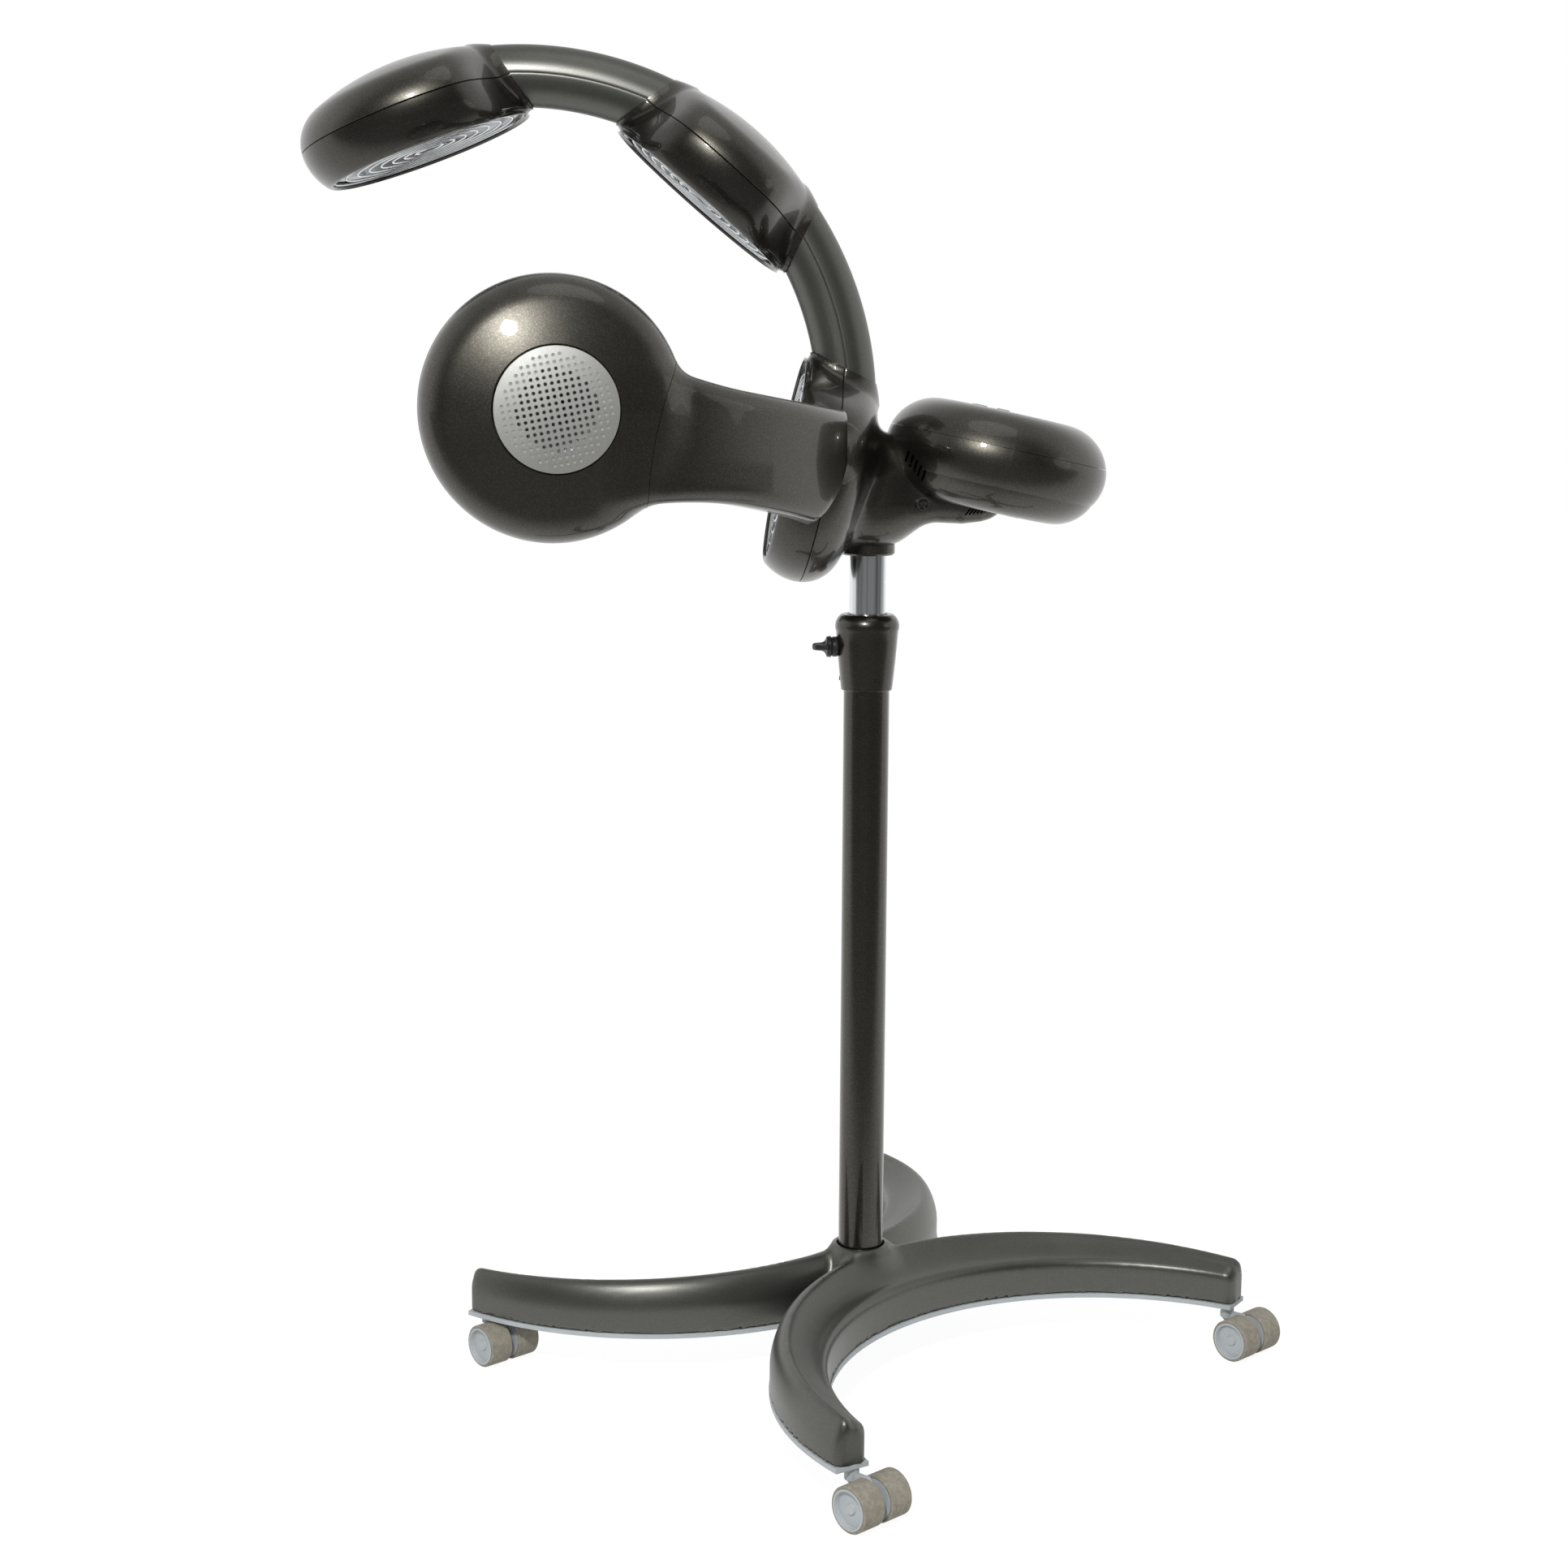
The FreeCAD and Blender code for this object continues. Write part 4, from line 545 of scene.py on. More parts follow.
def dome_profile(steps=22):
    """From the parting line to the crown, in millimetres."""
    sizes = lamps()
    radius, deep, part = sizes.radius / MM, sizes.depth / MM, sizes.parting / MM
    rise = deep - part
    knee = (part + rise * 0.65, radius * 0.79)
    shoulder = arc((part, radius), (part + rise * 0.42, radius * 0.925), knee, steps)
    return shoulder[:-1] + cap(knee, (deep, 0.0), steps)


def ring_profile(steps=20):
    """From the parting line forward to the edge of the opening, in millimetres."""
    sizes = lamps()
    radius, part, mouth = sizes.radius / MM, sizes.parting / MM, sizes.opening / MM
    return arc((part, radius), (part * 0.42, radius * 0.975), (1.0, mouth + 6), steps)


def lamp_outline():
    """Signed distance to a lamp's body, from its opening to its crown."""
    mouth = lamps().opening / MM
    return outline_field(dome_profile(14)[::-1] + ring_profile(14)[1:] + [(-2.0, mouth + 3), (-2.0, 0.0)])


def lamp_field(sides):
    """Lamp body with its sleeves, in the lamp's own frame in millimetres."""
    sizes = lamps()
    base, ring, sleeve = sizes.distance / MM, sizes.arch_radius / MM, sizes.tube_radius / MM + 0.5
    body = lamp_outline()
    slant = math.sqrt(1 + FACET_LEAN ** 2)

    def field(points):
        x, y, z = xyz(points)
        depth = x - base
        value = body(depth, np.sqrt(y * y + z * z))
        for side in sides:
            taper = SLEEVE_TAPER * np.maximum(0, np.abs(z) - SLEEVE_FLAT)
            flat = (y * side + taper - (facet_line(0) - SLEEVE_INSET - FACET_LEAN * depth)) / slant
            value = soft_common(value, flat, FACET_BLEND)
            tube = np.sqrt((np.sqrt(x * x + y * y) - ring) ** 2 + z * z) - sleeve
            value = soft_union(value, tube + np.maximum(0, SLEEVE_START - y * side), SLEEVE_BLEND)
        return value

    return field


def turned_rows(profile, shift):
    """Rows of a turned outline of (depth, radius) pairs, shifted along a lamp's axis."""
    around = np.linspace(0, math.tau, CUP_STEPS, endpoint=False)
    rows = np.array(profile, float)
    along = np.repeat(rows[:, :1] + shift, CUP_STEPS, 1)
    return np.stack([along, rows[:, 1:] * np.cos(around), rows[:, 1:] * np.sin(around)], -1)


def star_rows(profile, field):
    """Rows of a lamp's skin, on rays through a turned outline out to the blended surface.

    The first row is drawn a little inwards, for the soft edge of a seam, and a pole closes in one point.
    """
    rays = turned_rows([(depth, max(radius, POLE)) for depth, radius in profile], -LAMP_CORE)
    rays /= np.linalg.norm(rays, axis=-1, keepdims=True)
    core = np.array([lamps().distance / MM + LAMP_CORE, 0.0, 0.0])
    found = surface_along(field, np.broadcast_to(core, rays.shape), rays, 2.0, LAMP_REACH)
    if profile[-1][1] < POLE:
        found[-1] = found[-1].mean(axis=0)
    inward = core - found[0]
    found[0] += inward / np.linalg.norm(inward, axis=-1, keepdims=True) * SEAM_EASE
    return found


def cup_piece(name, rows, place, sides, wall):
    """A lamp's dome or ring over rows of points, cut where the arch tubes begin and given a wall."""
    points = [place @ Vector(p) * MM for p in rows.reshape(-1, 3)]
    mesh = mesh_from(name, points, grid_faces(len(rows), CUP_STEPS))
    tidy(mesh, outward=False)
    piece = faced(new_piece(name, mesh))
    for side in sides:
        bisected(piece, *facet_plane(place, side))
    return thickened(piece, wall)


def dome_piece(name, place, sides, field, open_radius=0.0):
    """Domed back of a lamp, with its sleeves, or with the seat of its drilled disc."""
    sizes = lamps()
    part, radius, base = sizes.parting / MM, sizes.radius / MM, sizes.distance / MM
    profile = [(part + SEAM_HALF, radius), (part + SEAM_ROUND, radius - 0.1)] + dome_profile()[1:]
    seat_rows = []
    if open_radius:
        inner = [p for p in profile if p[1] > open_radius + 0.6]
        beyond = profile[len(inner)]
        t = (inner[-1][1] - open_radius - 0.5) / (inner[-1][1] - beyond[1])
        seat = inner[-1][0] + (beyond[0] - inner[-1][0]) * t
        profile = inner + [(seat, open_radius + 0.5)]
        deep, inside = seat - SEAT_DEPTH, open_radius - SEAT_LEDGE
        seat_rows = [turned_rows([(seat - 0.5, open_radius), (deep, open_radius), (deep, inside)], base)]
    rows = np.concatenate([star_rows(profile, field), *seat_rows])
    return cup_piece(name, rows, place, sides, THIN_WALL if sides else sizes.wall)


def ring_piece(name, place, sides, field):
    """Front ring of a lamp, turned in at its opening."""
    sizes = lamps()
    part, radius, mouth = sizes.parting / MM, sizes.radius / MM, sizes.opening / MM
    profile = [(part - SEAM_HALF, radius), (part - SEAM_ROUND, radius)] + ring_profile()[1:]
    profile += [(0.0, mouth + 5.3), (-1.2, mouth + 4.0)]
    lip = turned_rows([(-2.0, mouth + 2.4), (-2.2, mouth + 1.2), (-1.6, mouth), (-0.4, mouth - 0.8),
                       (4.8, mouth - 0.8), (4.8, mouth + 2.0)], sizes.distance / MM)
    return cup_piece(name, np.concatenate([star_rows(profile, field), lip]), place, sides, THIN_WALL)


def build_arch_lamps():
    for tag, place, sides in arch_lamps():
        field = lamp_field(sides)
        dome = dome_piece(tag + "_dome", place, sides, field)
        dressed(dome, "head", "Bronze lacquer", [tag + "_shell"])
        ring = ring_piece(tag + "_front_ring", place, sides, field)
        dressed(ring, "head", "Ring lacquer", [tag + "_bezel"])


# ---------------- arch tubes
TUBE_SEAMS = (90, 270)
TUBE_STEPS, TUBE_OVERLAP, TUBE_PLAY = 60, 6.0, 0.1
TUBE_GAP, TUBE_SHARP = math.radians(11.5), math.radians(50)
GROOVE_DEPTH, GROOVE_HALF, GROOVE_TURNS = 0.45, 1.1, (-1.6, -0.7, 0.7, 1.6)


def build_arch_tubes():
    """Two bent tubes, each moulded in halves that meet in a fine seam."""
    sizes = lamps()
    ring, radius = sizes.arch_radius / MM, sizes.tube_radius / MM - TUBE_PLAY
    around = [math.radians(a) for a in range(0, 360, 5)]
    for seam in TUBE_SEAMS:
        around += [math.radians(seam + a) for a in GROOVE_TURNS]
    outline = []
    for a in sorted(set(round(a, 6) for a in around)):
        off = min(abs(math.degrees(a) - seam) for seam in TUBE_SEAMS)
        r = radius - GROOVE_DEPTH * max(0.0, 1 - off / GROOVE_HALF)
        outline.append(Vector((ring + r * math.cos(a), 0, r * math.sin(a))))
    low, high = TUBE_GAP, sizes.pitch - TUBE_GAP
    for k, name in enumerate(("arch_lower_tube", "arch_upper_tube")):
        start = sizes.rear_angle + k * sizes.pitch
        places = [arch_place(start + (low + (high - low) * s / TUBE_STEPS)) for s in range(TUBE_STEPS + 1)]
        tube = skin(name + "_bend", [[place @ p for p in outline] for place in places])
        for lamp, side in ((arch_place(start), 1), (arch_place(start + sizes.pitch), -1)):
            spot, normal = facet_plane(lamp, side, TUBE_OVERLAP)
            bisected(tube, spot, -normal, fill=True)
        dressed(tube, "head", "Graphite paint", [name], sharp=TUBE_SHARP)


# ---------------- grilles


def grown(name, tree, values):
    """Run a geometry tree on an empty mesh and keep its result as a plain mesh."""
    piece = new_piece(name, bpy.data.meshes.new(name))
    step = piece.modifiers.new("grow", "NODES")
    step.node_group = tree
    for item in tree.interface.items_tree:
        if item.item_type == "SOCKET" and item.in_out == "INPUT" and item.name in values:
            step[item.identifier] = values[item.name]
    return applied(piece)


def wire_grille_tree(name):
    """Rings one inside the other on two crossing rods."""
    tree, start, end = group(name, [
        ("Geometry", "NodeSocketGeometry", None), ("Rings", "NodeSocketInt", 8),
        ("Outer Radius", FLOAT, 0.1057), ("Pitch", FLOAT, 0.013), ("Wire", FLOAT, 0.0013),
        ("Rod Drop", FLOAT, 0.0018), ("Material", "NodeSocketMaterial", None)],
        [("Geometry", "NodeSocketGeometry")], "GeometryNodeTree")
    outer, drop = start.outputs["Outer Radius"], start.outputs["Rod Drop"]
    line = node(tree, "GeometryNodeMeshLine", in_Count=start.outputs["Rings"], in_Offset=(0, 0, 0))
    inwards = maths(tree, "MULTIPLY", node(tree, "GeometryNodeInputIndex"), start.outputs["Pitch"])
    hoop = node(tree, "GeometryNodeCurvePrimitiveCircle", in_Resolution=88, in_Radius=1.0)
    hoops = node(tree, "GeometryNodeInstanceOnPoints", in_Points=line, in_Instance=hoop,
                 in_Scale=maths(tree, "SUBTRACT", outer, inwards))
    loose = node(tree, "GeometryNodeRealizeInstances", in_Geometry=hoops)
    reach = node(tree, "ShaderNodeCombineXYZ", in_X=outer, in_Z=drop)
    back = node(tree, "ShaderNodeCombineXYZ", in_X=maths(tree, "MULTIPLY", outer, -1.0), in_Z=drop)
    rod = node(tree, "GeometryNodeCurvePrimitiveLine", in_Start=back, in_End=reach)
    crossing = node(tree, "GeometryNodeTransform", in_Geometry=rod, in_Rotation=(0, 0, math.pi / 2))
    every = node(tree, "GeometryNodeJoinGeometry")
    for made in (loose, rod, crossing):
        feed(tree, every.inputs[0], made)
    gauge = start.outputs["Wire"]
    section = node(tree, "GeometryNodeCurvePrimitiveCircle", in_Resolution=8, in_Radius=gauge)
    wire = node(tree, "GeometryNodeCurveToMesh", in_Curve=every, in_Profile_Curve=section, in_Fill_Caps=True)
    done = node(tree, "GeometryNodeRealizeInstances", in_Geometry=wire)
    paint = node(tree, "GeometryNodeSetMaterial", in_Geometry=done, in_Material=start.outputs["Material"])
    return put_out(tree, end, Geometry=paint)


GRILLE_TURN = math.radians(45)
GRILLE_SEAT, GRILLE_PLAY = 0.0022, 0.00105


def grille_piece(name, place):
    """One wire grille, laid into a lamp's opening."""
    sizes = lamps()
    piece = grown(name, shared_tree("Wire grille", wire_grille_tree), {
        "Rings": sizes.ring_count, "Outer Radius": sizes.opening - GRILLE_PLAY - sizes.wire,
        "Pitch": sizes.ring_pitch, "Wire": sizes.wire, "Material": finish("Grille chrome")})
    turn = Matrix(((0, 0, 1, 0), (1, 0, 0, 0), (0, 1, 0, 0), (0, 0, 0, 1)))
    spin = Matrix.Rotation(GRILLE_TURN, 4, "X")
    shift = Matrix.Translation(Vector((sizes.distance + GRILLE_SEAT, 0, 0)))
    where = place.copy()
    where.translation = where.translation * MM
    piece.data.transform(where @ spin @ shift @ turn)
    tidy(piece.data)
    return piece


def dish_piece(name, place):
    """Pressed reflector with a rolled rim and two shallow steps."""
    sizes = lamps()
    base, mouth = sizes.distance / MM, sizes.opening / MM
    deep = sizes.parting / MM * 0.86
    rim = mouth - 4
    line = [(5.3, mouth + 1.8), (5.3, rim + 1.0)]
    line += arc((5.6, rim), (22.2, rim * 0.9), (deep - 1.4, rim * 0.63), 14)
    line += [(deep - 0.6, rim * 0.60), (deep, rim * 0.55), (deep, rim * 0.42), (deep - 1.2, rim * 0.40),
             (deep - 1.2, rim * 0.12), (deep, rim * 0.10), (deep, 0.0)]
    return turned(name, [(base + d, r) for d, r in line], place, steps=128)


def build_openings():
    """Grilles and reflector dishes of all lamps."""
    head = Vector(head_point()) * MM
    grilles = [grille_piece("part_" + tag, place) for tag, place, _ in arch_lamps()]
    grilles = joined("arch_wire_grilles", grilles)
    dressed(grilles, "head", "Grille chrome", ["arch_grilles"], sharp=None)
    dishes = joined("arch_dishes", [dish_piece("dish_" + tag, place) for tag, place, _ in arch_lamps()])
    dishes = thickened(faced(dishes, head), DISH_WALL)
    dressed(dishes, "head", "Bright dish", ["arch_reflectors"])
    grille = grille_piece("right_wire_grille", side_place())
    dress_pair(grille, "Grille chrome", "_lamp_grille", sharp=None)
    dish = thickened(faced(dish_piece("right_dish", side_place()), head), DISH_WALL)
    dress_pair(dish, "Bright dish", "_lamp_reflector")


# ---------------- side lamps and arms
ARM_START = math.radians(20.0)
ARM_WAIST, ARM_HEIGHT, ARM_FLARE, ARM_SPREAD = 0.42, 111, 29, 13
ARM_HALF, ARM_CORNER, ARM_BLEND = 23.0, 17.0, 12.0
ARM_SINK, ARM_FALL = 20, 42
LIFT, LIFT_FROM, LIFT_SPAN = 30, 0.72, 0.28
CUT_TOP, CUT_SPAN, CUT_BACK = 1010.0, 66.0, 35.0
ARM_ROOT_END, ARM_INNER_END = 118.0, 131.0
DRUM_BACK, DRUM_FRONT = 220.0, 160.0
LUG_ROOM, LUG_PLAY = 13.6, 0.4
BAR_ROOM, BAR_REACH = 12.5, 60.0
SWINGS = np.radians(np.linspace(-34, 7, 12))
HINGE_REACH = 138.0
SEAM_REACH, SEAM_RADIUS = 97.0, 330.0
SEAM_TILT = math.radians(-12.4)
LUG_MIDDLE, LUG_HEIGHT = 1017.0, 36.0


def arm_root():
    """Direction of the hinge from the middle of the head."""
    return math.acos(HINGE_REACH / (lamps().arch_radius / MM))


def hinge_y():
    return -lamps().head_offset / MM + lamps().arch_radius / MM * math.sin(arm_root())


def arm_part(turn):
    """How far a direction lies along an arm, from nought at the lamp to one at the hinge."""
    return (turn - ARM_START) / (arm_root() - ARM_START)


def arm_drop(part):
    """Depth of an arm's middle line below the middle of the head."""
    return ARM_SINK + ARM_FALL * np.clip(part, 0, 1)


def arm_field(points):
    """The arm's sweep about the client's head, in the head's own frame in millimetres."""
    x, y, z = xyz(points)
    part = arm_part(np.arctan2(y, x))
    held = np.clip(part, 0, 1)
    flare = np.where(held < ARM_WAIST, ARM_FLARE * ((ARM_WAIST - held) / ARM_WAIST) ** 2,
                     ARM_SPREAD * ((held - ARM_WAIST) / (1 - ARM_WAIST)) ** 2)
    across, rise = np.abs(np.hypot(x, y) - lamps().arch_radius / MM), np.abs(z + arm_drop(part))
    body = rounded_bar(across, rise, ARM_HALF, (ARM_HEIGHT + flare) / 2, ARM_CORNER)
    return body + np.maximum(0, -part - 0.15) * 300


def side_dome_field():
    """Side lamp's dome with the root of its arm, in the lamp's own frame."""
    sizes = lamps()
    base = sizes.distance / MM
    body = outline_field(dome_profile(14)[::-1] + [(sizes.parting / MM, 0.0)])

    def field(points):
        x, y, z = xyz(points)
        dome = body(x - base, np.hypot(y, z))
        return soft_union(dome, arm_field(spun(points, sizes.side_angle)), ARM_BLEND)

    return field


def seam_drum(radius):
    """The drum whose skin parts a side lamp from its arm."""
    middle = Matrix.Translation(Vector((0, SEAM_REACH + SEAM_RADIUS, 0)))
    place = side_place() @ Matrix.Rotation(SEAM_TILT, 4, "X") @ middle
    back, front = lamps().distance / MM - DRUM_BACK, lamps().distance / MM + DRUM_FRONT
    profile = [(back, 0.0), (back, radius), (front, radius), (front, 0.0)]
    return turned("seam_drum", profile, place, steps=360)


def build_side_lamps():
    """Domes with the seats of their drilled discs, and front rings."""
    whole, plain = side_dome_field(), lamp_outline()
    base = lamps().distance / MM

    def dome_only(points):
        return np.where(points[..., 1] > ARM_ROOT_END, 1.0, whole(points))

    def ring_only(points):
        x, y, z = xyz(points)
        return plain(x - base, np.hypot(y, z))

    dome = dome_piece("right_lamp_dome", side_place(), (), dome_only, open_radius=DISC_SEAT)
    boolean(dome, [seam_drum(SEAM_RADIUS + 0.5)])
    dress_pair(dome, "Bronze lacquer", "_lamp_shell")
    ring = ring_piece("right_lamp_front_ring", side_place(), (), ring_only)
    dress_pair(ring, "Ring lacquer", "_lamp_bezel")


def arm_end(points):
    """Distance beyond the end of an arm, whose lower corner is drawn back in a long curve."""
    x, y, z = xyz(points)
    rise = z + lamps().head_height / MM
    drawn = np.clip((CUT_TOP - rise) / CUT_SPAN, 0, 1.2)
    back = y - lamps().head_offset / MM + CUT_BACK + 9.0 * drawn + 33.0 * drawn ** 2.1
    return soft_common(ARM_INNER_END - x, back, 4.0)


def hinge_room(hinge):
    """Room in an arm for the lug and for the bar through the arm's whole swing."""
    gap = LUG_HEIGHT / 2 + LUG_PLAY
    turns = np.linspace(0, math.tau, 48, endpoint=False)
    plan = [Vector((LUG_ROOM * math.cos(a), LUG_ROOM * math.sin(a), 0)) for a in turns]
    for swing in SWINGS:
        turn = Matrix.Rotation(math.atan2(-hinge[1], -hinge[0]) + swing, 3, "Z")
        plan += [turn @ Vector((BAR_REACH, width, 0)) for width in (-BAR_ROOM, BAR_ROOM)]
    work = bmesh.new()
    for spot in plan:
        for rise in (-gap, gap):
            work.verts.new((Vector(hinge) + spot + Vector((0, 0, rise))) * MM)
    bmesh.ops.convex_hull(work, input=work.verts)
    bmesh.ops.delete(work, geom=[v for v in work.verts if not v.link_faces], context="VERTS")
    return piece_from("hinge_room", work)


def build_arms():
    """Arms that leave the side lamps at a fine seam and close over the hinge lugs."""
    sizes = lamps()
    ring, base = sizes.arch_radius / MM, sizes.distance / MM
    body = side_dome_field()

    def field(points):
        return soft_common(body(spun(points, -sizes.side_angle)), arm_end(points), 3.5)

    turns = np.linspace(0, math.tau, 128, endpoint=False)
    root, sweep = np.radians(np.arange(19.0, 36.0, 0.7)), np.radians(np.arange(36.4, 60.0, 1.2))
    inner = np.linspace(math.radians(60.2), math.acos((ARM_INNER_END + 1.5) / ring), 34)
    sections = []
    for station in np.concatenate([root, sweep, inner]):
        part = arm_part(station)
        out = np.array([math.cos(station), math.sin(station), 0.0])
        lift = LIFT * max(part - LIFT_FROM, 0) / LIFT_SPAN
        centre = out * ring + np.array([0, 0, lift - arm_drop(part)])
        rays = np.cos(turns)[:, None] * out + np.sin(turns)[:, None] * np.array([0, 0, 1.0])
        loop = surface_along(field, np.broadcast_to(centre, rays.shape), rays, 0.0, 150.0)
        sections.append([Vector(head_point()) + Vector(p) for p in loop])
    arm = skin("right_side_arm", sections)
    boolean(arm, [seam_drum(SEAM_RADIUS)], "INTERSECT")
    rim = [(base + (d + 0.4), r + 0.5) for d, r in ring_profile()]
    mouth = [(base - 4, sizes.opening / MM + 4), (base - 4, 0.0)]
    room = turned("ring_room", [(base + 40.4, 0.0)] + rim + mouth, side_place(), steps=160)
    boolean(arm, [room, hinge_room((HINGE_REACH, hinge_y(), LUG_MIDDLE))])
    dress_pair(arm, "Bronze lacquer", "_arm_shell")


# ---------------- hub
BOWL_BOTTOM, BOWL_RIM, BOWL_FOOT = 917.2, 959.2, 29.0
NECK = ((8.0, 80.0, 926.0, 1022.0), (40.0, 86.0, 937.0, 1019.0), (70.0, 92.0, 941.0, 1008.0),
        (98.0, 96.0, 940.0, 986.0), (118.0, 90.0, 942.5, 976.0), (134.0, 74.0, 947.0, 969.0))
NECK_CORNER, NECK_START, NECK_END, NECK_BLEND = 24.0, -4, 141.0, 16.0
LUG_RADIUS, LUG_CORNER, BAR_CORNER, BAR_BLEND = 12.4, 5, 9, 20.0
BAR_HALF, BAR_FLARE = 10.5, 26.0
LAMP_BLEND, LAMP_LIMIT = 18.0, 16.0
SLOTS, SLOT_PITCH, SLOT_LEAN = 6, 4.2, math.radians(-38)
SOCKET_BORE, SOCKET_RADIUS = 20.4, 27.0
PIN_RADIUS = 4.8


def hub_field():
    """Bowl, neck and hinge bosses run into each other and into the rear lamp."""
    sizes = lamps()
    _, head_y, head_z = head_point()
    bowl_line = [(BOWL_BOTTOM, 0.0), (BOWL_BOTTOM, BOWL_FOOT)]
    bowl_line += arc((BOWL_BOTTOM, BOWL_FOOT), (934.0, 50.5), (BOWL_RIM, 60.0), 8)[1:]
    bowl = outline_field(bowl_line + [(990.0, 56.0), (1015.0, 44.0), (1024.0, 0.0)])
    lamp = outline_field(dome_profile(8)[::-1] + [(sizes.parting / MM, 0.0)])
    c, s = math.cos(sizes.rear_angle), math.sin(sizes.rear_angle)
    lug_y, tall = hinge_y(), LUG_HEIGHT / 2 - LUG_PLAY
    along, width, low, high = (np.array(v) for v in zip(*NECK))

    def field(points):
        x, y, z = xyz(points)
        value = bowl(z, np.hypot(x, y))
        wide = np.interp(y, along, width) / 2
        under, over = np.interp(y, along, low), np.interp(y, along, high)
        corner = np.minimum(NECK_CORNER, (over - under) * 0.48)
        neck = rounded_bar(np.abs(x), np.abs(z - (under + over) / 2), wide, (over - under) / 2, corner)
        neck = soft_common(np.maximum(neck, NECK_START - y), y - NECK_END, NECK_BLEND)
        value = soft_union(value, neck, NECK_BLEND)
        t = np.clip(np.abs(x) / HINGE_REACH, 0, 1)
        wide = BAR_HALF + BAR_FLARE * (1 - np.clip((t - 0.25) / 0.5, 0, 1)) ** 2
        rise = np.abs(z - LUG_MIDDLE)
        bar = rounded_bar(np.abs(y - lug_y * t), rise, wide, tall, BAR_CORNER)
        bar = np.maximum(bar, np.abs(x) - HINGE_REACH)
        apart = np.hypot(np.abs(x) - HINGE_REACH, y - lug_y)
        lug = rounded_bar(apart, rise, LUG_RADIUS, tall, LUG_CORNER)
        value = soft_union(value, np.minimum(bar, lug), np.where(t < 0.6, BAR_BLEND, 1.0))
        y, z = y - head_y, z - head_z
        dome = lamp(y * c + z * s - sizes.distance / MM, np.hypot(-y * s + z * c, x))
        return np.maximum(soft_union(value, dome, LAMP_BLEND), value - LAMP_LIMIT)

    return field


def tongue_slots(side):
    """Cutters for the slanting air slots at the end of the neck."""
    lean = Matrix.Rotation(SLOT_LEAN, 4, "X")
    cutters = []
    for k in range(SLOTS):
        spot = Matrix.Translation((side * 46.0, 104.0 + SLOT_PITCH * k, 956.0 + 0.6 * k))
        cutters.append(box_piece("slot_%d" % k, (-16, -0.9, -7.5), (16, 0.9, 7.5), spot @ lean))
    return joined("slots", cutters)


def build_hub():
    """Hub casting, and the inner frame with its mast socket, bars and hinge pins."""
    hub = surface_net("hub_casting", hub_field(), (-170, -100, 893), (170, 146, 1060), 2.5)
    boolean(hub, [tongue_slots(1), tongue_slots(-1)])
    dressed(hub, "head", "Bronze lacquer", ["hub_shell"])

    socket = [(917.5, SOCKET_BORE), (917.5, SOCKET_RADIUS), (1003.0, SOCKET_RADIUS), (1003.0, SOCKET_BORE)]
    parts = [turned("mast_socket", socket, upright(), 72, True)]
    low, high = LUG_MIDDLE - 26, LUG_MIDDLE + 30
    pin = [(low, 0.0), (low, PIN_RADIUS), (high, PIN_RADIUS), (high, 0.0)]
    lug_y = hinge_y()
    for side in (1, -1):
        turn = Matrix.Rotation(math.atan2(lug_y, side * HINGE_REACH), 4, "Z")
        place = Matrix.Translation((0, 0, LUG_MIDDLE)) @ turn
        parts.append(box_piece("bar", (24, -7, -13), (math.hypot(HINGE_REACH, lug_y) - 8, 7, 13), place))
        parts.append(turned("pin", pin, upright((side * HINGE_REACH, lug_y, 0)), 32))
    dressed(joined("hub_frame", parts), "head", "Cast inner frame", ["hub_core"])


# ---------------- base
BANK = 0.18
OUTER_TURN, OUTER_EDGE = (0.88, 0.91), (1.0, 0.64)
CREST_BLEND, TIP_BLEND, MIDDLE_BLEND, SADDLE_BLEND = 11.0, 12.0, 5.0, 12.0
TIP_PLAY = 3.0


def parabola(t, a, b, d):
    """Curve through three (place, height) pairs."""
    return (a[1] * (t - b[0]) * (t - d[0]) / ((a[0] - b[0]) * (a[0] - d[0]))
            + b[1] * (t - a[0]) * (t - d[0]) / ((b[0] - a[0]) * (b[0] - d[0]))
            + d[1] * (t - a[0]) * (t - b[0]) / ((d[0] - a[0]) * (d[0] - b[0])))


